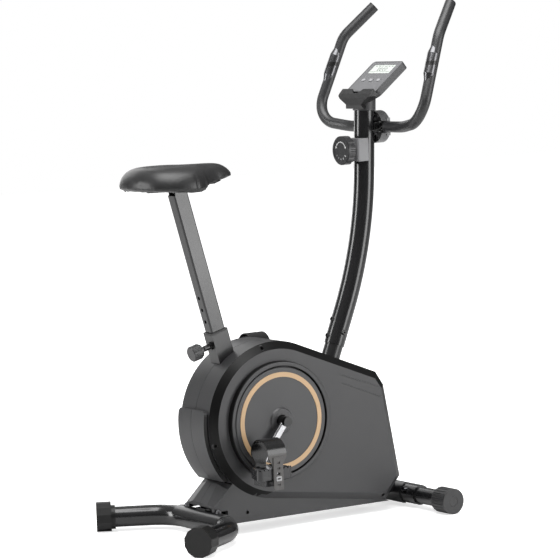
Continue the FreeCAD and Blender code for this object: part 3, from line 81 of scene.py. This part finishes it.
WIRE_LENGTH, WIRE_RADIUS = 0.0405, 0.0013


def at(x, y, z):
    return Vector((CRANK_X + x / 1000, y / 1000, z / 1000))


# ---- camera, lights and floor --------------------------------------------------------------

def camera():
    """A low viewpoint behind the right rear foot, from far away with a long lens."""
    data = bpy.data.cameras.new("camera")
    data.lens, data.sensor_width = LENS, SENSOR
    data.clip_end = 100
    eye = bpy.data.objects.new("camera", data)
    bpy.context.scene.collection.objects.link(eye)
    yaw, pitch, roll = (math.radians(a) for a in (YAW, PITCH, ROLL))
    look = Vector((math.cos(yaw) * math.cos(pitch), math.sin(yaw) * math.cos(pitch), math.sin(pitch)))
    right = look.cross(Z).normalized()
    up = right.cross(look)
    level = Matrix((right, up, -look)).transposed()
    turned = (level @ Matrix.Rotation(roll, 3, "Z")).to_4x4()
    eye.matrix_world = Matrix.Translation(at(*EYE)) @ turned
    bpy.context.scene.camera = eye


def soft_light(name, place, aim, size, power):
    data = bpy.data.lights.new(name, "AREA")
    data.shape, data.size, data.size_y, data.energy = "RECTANGLE", size[0], size[1], power
    lamp = bpy.data.objects.new(name, data)
    bpy.context.scene.collection.objects.link(lamp)
    lamp.location = place
    lamp.rotation_euler = (Vector(aim) - Vector(place)).to_track_quat("-Z", "Y").to_euler()


def backdrop(scene):
    """A white surround to look at, and a dim grey one, brighter overhead, to be lit by."""
    world = bpy.data.worlds.new("studio")
    scene.world = world
    world.use_nodes = True
    tree = world.node_tree
    seen = tree.nodes["Background"]
    seen.inputs["Color"].default_value = (1, 1, 1, 1)
    seen.inputs["Strength"].default_value = 1.0
    place = tree.nodes.new("ShaderNodeTexCoord")
    split = tree.nodes.new("ShaderNodeSeparateXYZ")
    tree.links.new(place.outputs["Generated"], split.inputs["Vector"])
    level = spread(tree, split.outputs["Z"], 0.09, 0.60, 0.0, 0.9)
    lit = tree.nodes.new("ShaderNodeBackground")
    tree.links.new(level, lit.inputs["Strength"])
    rays = tree.nodes.new("ShaderNodeLightPath")
    mix = tree.nodes.new("ShaderNodeMixShader")
    tree.links.new(rays.outputs["Is Camera Ray"], mix.inputs["Fac"])
    tree.links.new(lit.outputs["Background"], mix.inputs[1])
    tree.links.new(seen.outputs["Background"], mix.inputs[2])
    tree.links.new(mix.outputs["Shader"], tree.nodes["World Output"].inputs["Surface"])


def pale_floor():
    """Matt white paper whose glow grows with distance, so that shadows stay pale and the far edge is lost."""
    m, tree, shader = nodes_of("floor")
    cloud = noise(tree, 3, 3)
    tree.links.new(tint(tree, cloud, (0.83, 0.83, 0.83), (0.86, 0.86, 0.86)), shader.inputs["Base Color"])
    shader.inputs["Roughness"].default_value = 0.55
    shader.inputs["Emission Color"].default_value = (1, 1, 1, 1)
    rays = tree.nodes.new("ShaderNodeLightPath")
    place = tree.nodes.new("ShaderNodeTexCoord")
    reach = tree.nodes.new("ShaderNodeVectorMath")
    reach.operation = "LENGTH"
    tree.links.new(place.outputs["Object"], reach.inputs[0])
    glow = tree.nodes.new("ShaderNodeMath")
    glow.operation = "MULTIPLY"
    tree.links.new(spread(tree, reach.outputs["Value"], 0.63, 0.95, 0.7, 3.0), glow.inputs[0])
    tree.links.new(rays.outputs["Is Camera Ray"], glow.inputs[1])
    tree.links.new(glow.outputs["Value"], shader.inputs["Emission Strength"])
    return m


def studio():
    scene = bpy.context.scene
    scene.view_settings.view_transform = "Standard"
    backdrop(scene)
    for light in LIGHTS:
        soft_light(*light)
    mesh = bpy.data.meshes.new("floor")
    corners = [(i * FLOOR_HALF, j * FLOOR_HALF, -FLOOR_DROP) for i, j in ((-1, -1), (1, -1), (1, 1), (-1, 1))]
    mesh.from_pydata(corners, [], [(0, 1, 2, 3)])
    floor = bpy.data.objects.new("floor", mesh)
    scene.collection.objects.link(floor)
    floor.data.materials.append(pale_floor())


# ---- materials -----------------------------------------------------------------------------

def nodes_of(name):
    m = bpy.data.materials.new(name)
    m.use_nodes = True
    tree = m.node_tree
    return m, tree, tree.nodes["Principled BSDF"]


def noise(tree, scale, detail=4.0, rough=0.5, kind="ShaderNodeTexNoise"):
    """Noise over the object's own metres."""
    place = tree.nodes.new("ShaderNodeTexCoord")
    n = tree.nodes.new(kind)
    n.inputs["Scale"].default_value = scale
    if kind == "ShaderNodeTexNoise":
        n.inputs["Detail"].default_value = detail
        n.inputs["Roughness"].default_value = rough
    tree.links.new(place.outputs["Object"], n.inputs["Vector"])
    return n.outputs[0] if kind == "ShaderNodeTexNoise" else n.outputs["Distance"]


def spread(tree, value, low, high, start=0.3, end=0.7):
    """Maps a 0 to 1 value on to a range."""
    m = tree.nodes.new("ShaderNodeMapRange")
    m.inputs["From Min"].default_value, m.inputs["From Max"].default_value = start, end
    m.inputs["To Min"].default_value, m.inputs["To Max"].default_value = low, high
    tree.links.new(value, m.inputs["Value"])
    return m.outputs["Result"]


def tint(tree, value, dark, light):
    ramp = tree.nodes.new("ShaderNodeValToRGB")
    ramp.color_ramp.elements[0].color = (*dark, 1)
    ramp.color_ramp.elements[1].color = (*light, 1)
    ramp.color_ramp.elements[0].position, ramp.color_ramp.elements[1].position = 0.3, 0.7
    tree.links.new(value, ramp.inputs["Fac"])
    return ramp.outputs["Color"]


def bump(tree, shader, *layers):
    """Stacks bump layers, each (height, strength, distance in metres)."""
    last = None
    for height, strength, depth in layers:
        b = tree.nodes.new("ShaderNodeBump")
        b.inputs["Strength"].default_value, b.inputs["Distance"].default_value = strength, depth
        tree.links.new(height, b.inputs["Height"])
        if last:
            tree.links.new(last, b.inputs["Normal"])
        last = b.outputs["Normal"]
    tree.links.new(last, shader.inputs["Normal"])


def painted(name, colour, rough=0.22, coat=0.0):
    """Paint over steel: nearly smooth, with faint orange peel and slightly uneven gloss."""
    m, tree, shader = nodes_of(name)
    peel = noise(tree, 220, 2)
    cloud = noise(tree, 9, 5)
    tree.links.new(tint(tree, cloud, [c * 0.86 for c in colour], [c * 1.14 for c in colour]),
                   shader.inputs["Base Color"])
    tree.links.new(spread(tree, cloud, rough * 0.85, rough * 1.2), shader.inputs["Roughness"])
    shader.inputs["Coat Weight"].default_value = coat
    shader.inputs["Coat Roughness"].default_value = 0.12
    bump(tree, shader, (peel, 0.008, 0.0003))
    return m


def moulded(name, colour, rough=0.5, grain=1400, depth=0.3, mottling=0.07, shine=0.5):
    """Injection-moulded plastic with a fine spark-eroded grain and slight unevenness in tone and gloss."""
    m, tree, shader = nodes_of(name)
    fine = noise(tree, grain, 2, 0.6)
    cloud = noise(tree, 6, 6, 0.6)
    dark, light = ([c * k for c in colour] for k in (1 - mottling, 1 + mottling))
    tree.links.new(tint(tree, cloud, dark, light), shader.inputs["Base Color"])
    tree.links.new(spread(tree, cloud, rough - 0.05, rough + 0.05), shader.inputs["Roughness"])
    shader.inputs["Specular IOR Level"].default_value = shine
    bump(tree, shader, (fine, depth, 0.0002))
    return m


def metal(name, colour, rough, brushed=0.0):
    """Bare or plated metal, slightly uneven in gloss."""
    m, tree, shader = nodes_of(name)
    shader.inputs["Metallic"].default_value = 1.0
    cloud = noise(tree, 35, 6, 0.6)
    fine = noise(tree, 700, 3)
    tree.links.new(tint(tree, cloud, [c * 0.9 for c in colour], colour), shader.inputs["Base Color"])
    tree.links.new(spread(tree, cloud, rough * 0.7, rough * 1.5), shader.inputs["Roughness"])
    bump(tree, shader, (fine, 0.04 + brushed, 0.0002))
    return m


def vinyl(name, colour):
    """Grained upholstery vinyl: small pebbles with fine creases between them."""
    m, tree, shader = nodes_of(name)
    cells = noise(tree, 520, kind="ShaderNodeTexVoronoi")
    fine = noise(tree, 1800, 3)
    cloud = noise(tree, 12, 5, 0.6)
    tree.links.new(tint(tree, cloud, [c * 0.85 for c in colour], [c * 1.2 for c in colour]),
                   shader.inputs["Base Color"])
    tree.links.new(spread(tree, cloud, 0.36, 0.44), shader.inputs["Roughness"])
    bump(tree, shader, (cells, 0.16, 0.0004), (fine, 0.06, 0.0002))
    return m


def foam(name, colour):
    """Closed-cell handlebar foam with a satin skin and fine pores."""
    m, tree, shader = nodes_of(name)
    pores = noise(tree, 900, kind="ShaderNodeTexVoronoi")
    fine = noise(tree, 2400, 4)
    cloud = noise(tree, 20, 5)
    tree.links.new(tint(tree, cloud, [c * 0.85 for c in colour], [c * 1.15 for c in colour]),
                   shader.inputs["Base Color"])
    tree.links.new(spread(tree, cloud, 0.40, 0.48), shader.inputs["Roughness"])
    shader.inputs["Specular IOR Level"].default_value = 0.65
    bump(tree, shader, (pores, 0.02, 0.0003), (fine, 0.015, 0.0002))
    return m


def dimpled(name, colour):
    """Soft moulding covered with rows of small raised pads."""
    m, tree, shader = nodes_of(name)
    pads = noise(tree, 210, kind="ShaderNodeTexVoronoi")
    cloud = noise(tree, 10, 5)
    tree.links.new(tint(tree, cloud, [c * 0.85 for c in colour], [c * 1.15 for c in colour]),
                   shader.inputs["Base Color"])
    tree.links.new(spread(tree, cloud, 0.38, 0.48), shader.inputs["Roughness"])
    bump(tree, shader, (pads, 0.5, 0.0006))
    return m


def plated(name, colour, core, rough, share):
    """Bright plating in two halves, with a band of dark core showing between them at half height."""
    m, tree, shader = nodes_of(name)
    cloud = noise(tree, 35, 4)
    place = tree.nodes.new("ShaderNodeTexCoord")
    split = tree.nodes.new("ShaderNodeSeparateXYZ")
    tree.links.new(place.outputs["Generated"], split.inputs["Vector"])
    band = tree.nodes.new("ShaderNodeMath")
    band.operation = "COMPARE"
    band.inputs[1].default_value, band.inputs[2].default_value = 0.5, share / 2
    tree.links.new(split.outputs["Z"], band.inputs[0])
    mix = tree.nodes.new("ShaderNodeMixRGB")
    mix.inputs["Color2"].default_value = (*core, 1)
    tree.links.new(band.outputs["Value"], mix.inputs["Fac"])
    tree.links.new(tint(tree, cloud, [c * 0.9 for c in colour], colour), mix.inputs["Color1"])
    tree.links.new(mix.outputs["Color"], shader.inputs["Base Color"])
    tree.links.new(spread(tree, band.outputs["Value"], 1.0, 0.0, 0.0, 1.0), shader.inputs["Metallic"])
    tree.links.new(spread(tree, cloud, rough * 0.9, rough * 1.2), shader.inputs["Roughness"])
    return m


def glass(name):
    """The clear window over the display."""
    m, tree, shader = nodes_of(name)
    cloud = noise(tree, 60, 3)
    shader.inputs["Base Color"].default_value = (0.62, 0.66, 0.62, 1)
    shader.inputs["Coat Weight"].default_value = 1.0
    shader.inputs["Coat Roughness"].default_value = 0.03
    tree.links.new(spread(tree, cloud, 0.18, 0.24), shader.inputs["Roughness"])
    return m


FINISH = {
    "black_tube": painted("black_tube", (0.007, 0.007, 0.0075), 0.22, 0.3),
    "frame_steel": painted("frame_steel", (0.009, 0.009, 0.0095), 0.28, 0.2),
    "housing": moulded("housing", (0.031, 0.031, 0.0325), 0.42),
    "disc": moulded("disc", (0.037, 0.037, 0.0385), 0.38),
    "ring": moulded("ring", (0.50, 0.33, 0.18), 0.38, 1800, 0.12),
    "chrome_steel": metal("chrome_steel", (0.50, 0.50, 0.515), 0.14),
    "zinc_bolt": metal("zinc_bolt", (0.12, 0.12, 0.125), 0.28),
    "black_bolt": painted("black_bolt", (0.012, 0.012, 0.012), 0.3),
    "pedal": moulded("pedal", (0.020, 0.020, 0.021), 0.24, 1400, 0.12),
    "strap": moulded("strap", (0.007, 0.007, 0.0072), 0.22, 420, 0.5),
    "pulley": moulded("pulley", (0.05, 0.05, 0.052), 0.5),
    "iron": metal("iron", (0.35, 0.35, 0.36), 0.4, 0.1),
    "belt": moulded("belt", (0.02, 0.02, 0.02), 0.7),
    "magnet": metal("magnet", (0.45, 0.45, 0.46), 0.35),
    "bare_steel": metal("bare_steel", (0.5, 0.5, 0.52), 0.25),
    "console": moulded("console", (0.045, 0.045, 0.047), 0.45),
    "bezel": moulded("bezel", (0.145, 0.145, 0.15), 0.34, 1800, 0.08),
    "lens": glass("lens"),
    "button": moulded("button", (0.30, 0.30, 0.31), 0.45, 1800, 0.1),
    "ledge": dimpled("ledge", (0.009, 0.009, 0.0093)),
    "bracket": moulded("bracket", (0.17, 0.17, 0.175), 0.36),
    "knob": moulded("knob", (0.030, 0.030, 0.031), 0.27),
    "foam": foam("foam", (0.012, 0.012, 0.013)),
    "sensor": plated("sensor", (0.13, 0.13, 0.135), (0.008, 0.008, 0.008), 0.28, 0.12),
    "cap": moulded("cap", (0.007, 0.007, 0.007), 0.42, 1400, 0.3, 0.07, 0.3),
    "wheel": moulded("wheel", (0.022, 0.022, 0.023), 0.45),
    "vinyl": vinyl("vinyl", (0.011, 0.011, 0.0113)),
    "pan": moulded("pan", (0.015, 0.015, 0.015), 0.6),
    "collar": moulded("collar", (0.016, 0.016, 0.016), 0.5),
    "wire": moulded("wire", (0.012, 0.012, 0.012), 0.45),
}


def finish_nodes():
    """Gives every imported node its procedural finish, and softens its hard edges a little."""
    for part in frame["record"]["subparts"]:
        node = NODES[part["node"]]
        node.data.materials.clear()
        node.data.materials.append(FINISH[part["material_slot"]])
        edge = node.modifiers.new("edge", "BEVEL")
        edge.width, edge.segments, edge.limit_method = 0.0006, 2, "ANGLE"
        edge.angle_limit = math.radians(35)
        edge.harden_normals = True


# ---- building helpers ----------------------------------------------------------------------

def made(name, mesh, material, body):
    """A new piece that rides on a body and takes the finish it is given."""
    piece = bpy.data.objects.new(name, mesh)
    bpy.context.scene.collection.objects.link(piece)
    mesh.materials.append(material)
    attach(piece, body)
    return piece


def ribbon(name, strips, origin, right, up, depth):
    """Thin raised marks on a plane: each strip is a list of (left, right) edge points in millimetres."""
    out = right.cross(up)
    bm = bmesh.new()
    for strip in strips:
        rings = []
        for pair in strip:
            flat = [origin + right * (u / 1000) + up * (v / 1000) for u, v in pair]
            rings.append([bm.verts.new(p + out * h) for h in (-0.0002, depth) for p in flat])
        for a, b in zip(rings, rings[1:]):
            for i, j in ((0, 1), (1, 3), (3, 2), (2, 0)):
                bm.faces.new((a[i], a[j], b[j], b[i]))
        for end in (rings[0], rings[-1]):
            bm.faces.new([end[i] for i in (0, 1, 3, 2)])
    bmesh.ops.recalc_face_normals(bm, faces=bm.faces)
    mesh = bpy.data.meshes.new(name)
    bm.to_mesh(mesh)
    bm.free()
    return mesh


def bar(u0, v0, u1, v1, wide):
    """A straight mark between two points."""
    along = Vector((u1 - u0, v1 - v0)).normalized()
    side = Vector((-along.y, along.x)) * wide / 2
    return [((u + side.x, v + side.y), (u - side.x, v - side.y)) for u, v in ((u0, v0), (u1, v1))]


def sweep_mark(radius, wide, start, end, steps=28):
    """A curved mark round a dial."""
    strip = []
    for i in range(steps + 1):
        a = math.radians(start + (end - start) * i / steps)
        edges = (radius - wide / 2, radius + wide / 2)
        strip.append(tuple((r * math.cos(a), r * math.sin(a)) for r in edges))
    return strip


def arrow_head(radius, angle, way):
    """A pointed end on a curved mark."""
    a, b = math.radians(angle), math.radians(angle + way * 11)
    back = [(r * math.cos(a), r * math.sin(a)) for r in (radius - 3.2, radius + 3.2)]
    tip = [(r * math.cos(b), r * math.sin(b)) for r in (radius - 0.2, radius + 0.2)]
    return [tuple(back), tuple(tip)]


# ---- finishes and painted shade on parts of a node -----------------------------------------

def repaint(node, material, wanted):
    """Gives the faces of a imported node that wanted(centre, normal) picks another finish."""
    mesh = NODES[node].data
    place = NODES[node].matrix_world
    mesh.materials.append(material)
    index = len(mesh.materials) - 1
    for face in mesh.polygons:
        centre = place @ face.center
        if wanted(centre, (place.to_3x3() @ face.normal).normalized()):
            face.material_index = index


def cover_bands():
    """The sloping band between the cover's rim and its flat side is painted near-black as painted shade, and is
    smoother than its sides.
    """
    # the near-black colour on the band is painted shade
    dark = moulded("housing_band_painted_shade", (0.003, 0.003, 0.003), 0.34, 1800, 0.12, 0.07, 0.2)
    for side, _ in SIDES:
        repaint(f"cover_{side}", dark, lambda c, n: BAND_NEAR < abs(c.y) < BAND_FAR
                and 0.2 < abs(n.y) < 0.93 and c.z > BAND_LOW)


def from_crank(place):
    """Distance from the crank's axis."""
    return math.hypot(place.x - CRANK_X, place.z - AXIS_Z)


def cover_lines():
    """The side faces of the rear patch are painted near-black as painted shade, which shows as dark lines."""
    # the near-black colour on the patch's side faces is painted shade
    patch_side_shade = moulded("housing_patch_side_painted_shade", (0.004, 0.004, 0.004), 0.4, 1800, 0.12, 0.07, 0.2)
    for side, _ in SIDES:
        repaint(f"cover_{side}", patch_side_shade, lambda c, n: from_crank(c) > PATCH_RADIUS
                and PATCH_NEAR < abs(c.y) < PATCH_FAR and abs(n.y) > 0.9)


# the hoop's section in metres: radius, distance from the bike's middle plane, whether the next face takes the
# painted shade
HOOP = ((0.1440, 0.0755, True), (0.1425, 0.0880, True), (0.1412, 0.0893, False), (0.1400, 0.0895, False),
        (0.1340, 0.0895, False), (0.1326, 0.0892, True), (0.1318, 0.0878, True), (0.1318, 0.0755, True))


def hoops(steps=144):
    """A raised hoop round each disc, pale on its crest and painted near-black on its flanks as painted shade."""
    # the near-black colour on the flanks is painted shade
    dark = moulded("hoop_flank_painted_shade", (0.004, 0.004, 0.004), 0.4, 1800, 0.12, 0.07, 0.2)
    for side, way in SIDES:
        bm = bmesh.new()
        rings = []
        for i in range(steps):
            a = 2 * math.pi * i / steps
            rings.append([bm.verts.new((CRANK_X + r * math.cos(a), way * y, AXIS_Z + r * math.sin(a)))
                          for r, y, _ in HOOP])
        for here, there in zip(rings, rings[1:] + rings[:1]):
            for k, (_, _, shaded) in enumerate(HOOP):
                n = (k + 1) % len(HOOP)
                bm.faces.new((here[k], here[n], there[n], there[k])).material_index = int(shaded)
        bmesh.ops.recalc_face_normals(bm, faces=bm.faces)
        mesh = bpy.data.meshes.new(f"hoop_{side}")
        bm.to_mesh(mesh)
        bm.free()
        made(f"hoop_{side}", mesh, FINISH["housing"], "frame")
        mesh.materials.append(dark)


def crank_hub():
    """The middle of the crank, where the arms meet the axle, is black."""
    black = painted("hub_black", (0.006, 0.006, 0.006), 0.3)
    repaint("crank_axle", black, lambda c, n: True)
    for side, _ in SIDES:
        repaint(f"crank_arm_{side}", black, lambda c, n: from_crank(c) < HUB_RADIUS)


def clamp_shine():
    """The round cover over the handlebar clamp is smoother than the console."""
    smooth = moulded("clamp_shell", (0.10, 0.10, 0.102), 0.26, 1800, 0.06)
    repaint("clamp_cover", smooth, lambda c, n: True)


def strap_tails():
    """The punched tails are of a paler, duller plastic than the glossy hoops."""
    tail = moulded("strap_tail", (0.065, 0.062, 0.060), 0.42, 1500, 0.15)
    for side, _ in SIDES:
        low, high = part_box(f"strap_{side}")
        outer = max(abs(low[1]), abs(high[1]))
        repaint(f"strap_{side}", tail, lambda c, n, o=outer: abs(c.y) > o - TAIL_SKIN)


def loop_plate(name, middle, half, hole, thick):
    """A flat rectangular ring in the XZ plane, with bevelled corners, such as a buckle."""
    bm = bmesh.new()
    rings = []
    for y in (-thick / 2, thick / 2):
        for size in (half, hole):
            c = 0.25 * size[1]
            corners = []
            for i, j in ((1, 1), (-1, 1), (-1, -1), (1, -1)):
                first, second = (size[0] * i, (size[1] - c) * j), ((size[0] - c) * i, size[1] * j)
                corners += (first, second) if i * j > 0 else (second, first)
            rings.append([bm.verts.new(middle + Vector((x, y, z))) for x, z in corners])
    near_out, near_in, far_out, far_in = rings
    count = len(near_out)
    for k in range(count):
        n = (k + 1) % count
        bm.faces.new((near_out[k], near_out[n], near_in[n], near_in[k]))
        bm.faces.new((far_out[k], far_in[k], far_in[n], far_out[n]))
        bm.faces.new((near_out[k], far_out[k], far_out[n], near_out[n]))
        bm.faces.new((near_in[k], near_in[n], far_in[n], far_in[k]))
    bmesh.ops.recalc_face_normals(bm, faces=bm.faces)
    mesh = bpy.data.meshes.new(name)
    bm.to_mesh(mesh)
    bm.free()
    return mesh


def buckles():
    """A light plastic slide holds each toe strap's tail in place beside the pedal."""
    pale = moulded("buckle", (0.32, 0.32, 0.325), 0.4)
    for side, way in SIDES:
        low, high = (Vector(c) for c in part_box(f"strap_{side}"))
        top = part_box(f"pedal_{side}")[1][2]
        outer = high.y if way > 0 else low.y
        middle = Vector(((low.x + high.x) / 2, outer + way * 0.0004, top - 0.024))
        mesh = loop_plate(f"buckle_{side}", middle, (0.0075, 0.0055), (0.0040, 0.0018), 0.002)
        piece = made(f"buckle_{side}", mesh, pale, f"{side}_pedal")
        edge = piece.modifiers.new("edge", "BEVEL")
        edge.width, edge.segments = 0.0006, 2


# ---- saddle --------------------------------------------------------------------------------

def blown(source):
    """Lets a cloth shell swell from a solid's surface, with no point moving further than SWELL_CAP."""
    solid = bpy.data.objects.new("shell", source.data.copy())
    bpy.context.scene.collection.objects.link(solid)
    solid.matrix_world = source.matrix_world.copy()
    solid.data.materials.clear()
    skin = solid.modifiers.new("skin", "REMESH")
    skin.mode, skin.voxel_size = "VOXEL", VOXEL
    depsgraph = bpy.context.evaluated_depsgraph_get()
    mesh = bpy.data.meshes.new_from_object(solid.evaluated_get(depsgraph))
    solid.modifiers.clear()
    solid.data = mesh
    start = [v.co.copy() for v in mesh.vertices]
    cloth = solid.modifiers.new("swell", "CLOTH")
    cloth.settings.use_pressure = True
    cloth.settings.uniform_pressure_force = PRESSURE
    cloth.settings.effector_weights.gravity = 0
    cloth.settings.tension_stiffness = cloth.settings.compression_stiffness = 25
    cloth.settings.bending_stiffness = 3
    cloth.point_cache.frame_start, cloth.point_cache.frame_end = 1, SWELL_STEPS
    for step in range(1, SWELL_STEPS + 1):
        bpy.context.scene.frame_set(step)
    depsgraph = bpy.context.evaluated_depsgraph_get()
    mesh = bpy.data.meshes.new_from_object(solid.evaluated_get(depsgraph))
    solid.modifiers.clear()
    bpy.context.scene.frame_set(1)
    place = solid.matrix_world
    for vertex, begin in zip(mesh.vertices, start):
        move = vertex.co - begin
        if move.length > SWELL_CAP:
            move *= SWELL_CAP / move.length
        vertex.co = place @ (begin + move)
    bpy.data.objects.remove(solid)
    return mesh


def creased(mesh, low, high):
    """Draws the cover in along its lower hem and along one upright seam on each flank."""
    seam_x = CRANK_X - 0.226
    base = low.z + 0.013
    for v in mesh.vertices:
        x, y, z = v.co
        flank = max(0.0, min(1.0, (abs(y) - 0.07) / 0.03)) * max(0.0, min(1.0, (high.z - 0.012 - z) / 0.02))
        pull = 0.0016 * flank * math.exp(-((x - seam_x) / 0.0028) ** 2)
        hem = 0.0012 * math.exp(-((z - base) / 0.0024) ** 2)
        inward = Vector(((low.x + high.x) / 2 - x, -y, 0)).normalized()
        v.co += inward * (pull + hem)


def saddle():
    """The swollen cover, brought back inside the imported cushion's box, subdivided and creased."""
    low, high = (Vector(c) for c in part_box("saddle_cushion"))
    mesh = blown(NODES["saddle_cushion"])
    middle = (low + high) / 2
    reach = [max(abs(v.co[i] - middle[i]) for v in mesh.vertices) for i in range(3)]
    grow = [min(1.0, (high[i] - low[i]) / 2 / reach[i]) for i in range(3)]
    for v in mesh.vertices:
        v.co = middle + Vector([(v.co[i] - middle[i]) * grow[i] for i in range(3)])
    mesh.materials.clear()
    cover = made("saddle_cover", mesh, FINISH["vinyl"], "saddle")
    fine = cover.modifiers.new("fine", "SUBSURF")
    fine.levels = fine.render_levels = 1
    depsgraph = bpy.context.evaluated_depsgraph_get()
    dense = bpy.data.meshes.new_from_object(cover.evaluated_get(depsgraph))
    cover.modifiers.clear()
    cover.data = dense
    creased(dense, low, high)
    dense.polygons.foreach_set("use_smooth", [True] * len(dense.polygons))
    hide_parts("saddle_cushion")


# ---- pulse wire ----------------------------------------------------------------------------

def pulse_wire():
    """The short loop of wire from the handlebar's middle back into the post."""
    pivot = Vector(JOINTS["handlebar_tilt"]["pos_m"])
    route = [(-0.036, -0.021, -0.008), (-0.020, -0.026, -0.008), (-0.014, -0.037, -0.002),
             (-0.004, -0.038, 0.005)]
    points = [pivot + Vector(p) for p in route]
    curve = bpy.data.curves.new("pulse_lead", "CURVE")
    curve.dimensions = "3D"
    curve.bevel_depth, curve.bevel_resolution, curve.resolution_u = WIRE_RADIUS, 5, 16
    line = curve.splines.new("NURBS")
    line.points.add(len(points) - 1)
    for point, place in zip(line.points, points):
        point.co = (*place, 1)
    line.order_u = 3
    line.use_endpoint_u = True
    lead = bpy.data.objects.new("pulse_lead", curve)
    bpy.context.scene.collection.objects.link(lead)
    curve.materials.append(FINISH["wire"])
    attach(lead, "frame")
    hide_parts("pulse_wire")


# ---- console and dial ----------------------------------------------------------------------

def digit(u, v, size, segments):
    """A generic seven-segment figure, as bars."""
    w, h, t = size * 0.52, size, size * 0.12
    spans = {
        "a": (0, h, w, h), "b": (w, h, w, h / 2), "c": (w, h / 2, w, 0), "d": (0, 0, w, 0),
        "e": (0, h / 2, 0, 0), "f": (0, h, 0, h / 2), "g": (0, h / 2, w, h / 2),
    }
    marks = []
    for key in segments:
        u0, v0, u1, v1 = spans[key]
        along = Vector((u1 - u0, v1 - v0)).normalized() * t * 0.6
        marks.append(bar(u + u0 + along.x, v + v0 + along.y, u + u1 - along.x, v + v1 - along.y, t))
    return marks


def display():
    """Dark figures and a row of small marks under the window."""
    low, high = (Vector(c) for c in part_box("console_lens"))
    tilt = JOINTS["middle_key_press"]["axis"]
    out = -Vector(tilt).normalized()
    up = Y.cross(out) * -1
    if up.z < 0:
        up = -up
    right = up.cross(out)
    origin = (low + high) / 2 + out * 0.0007
    marks = []
    for i in range(4):
        marks += digit(-17 + i * 9.5 + (2.5 if i > 1 else 0), -5, 10, "abcdef")
    marks += [bar(1.2, y, 1.9, y, 0.8) for y in (-2.4, 1.6)]
    for i in range(6):
        marks.append(bar(-36 + i * 13, 11, -28 + i * 13, 11, 1.3))
    marks.append(bar(-40, -9.5, 40, -9.5, 0.5))
    ink = moulded("display_ink", (0.05, 0.055, 0.05), 0.4, 1800, 0.05)
    mesh = ribbon("display_figures", marks, origin, right, up, 0.0002)
    made("display_figures", mesh, ink, "frame")


def dial_marks():
    """A pale curved double arrow and short strokes on the tension knob's face."""
    low, high = (Vector(c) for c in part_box("tension_knob"))
    origin = Vector((low.x + 0.001, 0, (low.z + high.z) / 2))
    right, up = -Y, Z
    marks = [sweep_mark(21, 1.5, 25, 155), arrow_head(21, 155, 1), arrow_head(21, 25, -1)]
    for i in range(5):
        a = math.radians(215 + i * 27.5)
        near, far = 19, 21 + i
        marks.append(bar(near * math.cos(a), near * math.sin(a), far * math.cos(a), far * math.sin(a), 1.3))
    pale = moulded("dial_print", (0.62, 0.62, 0.62), 0.5, 1800, 0.05)
    mesh = ribbon("dial_print", marks, origin, right, up, 0.00025)
    made("dial_print", mesh, pale, "tension_dial")


camera()
pulse_wire()
studio()
finish_nodes()
cover_bands()
cover_lines()
crank_hub()
hoops()
clamp_shine()
strap_tails()
buckles()
saddle()
display()
dial_marks()
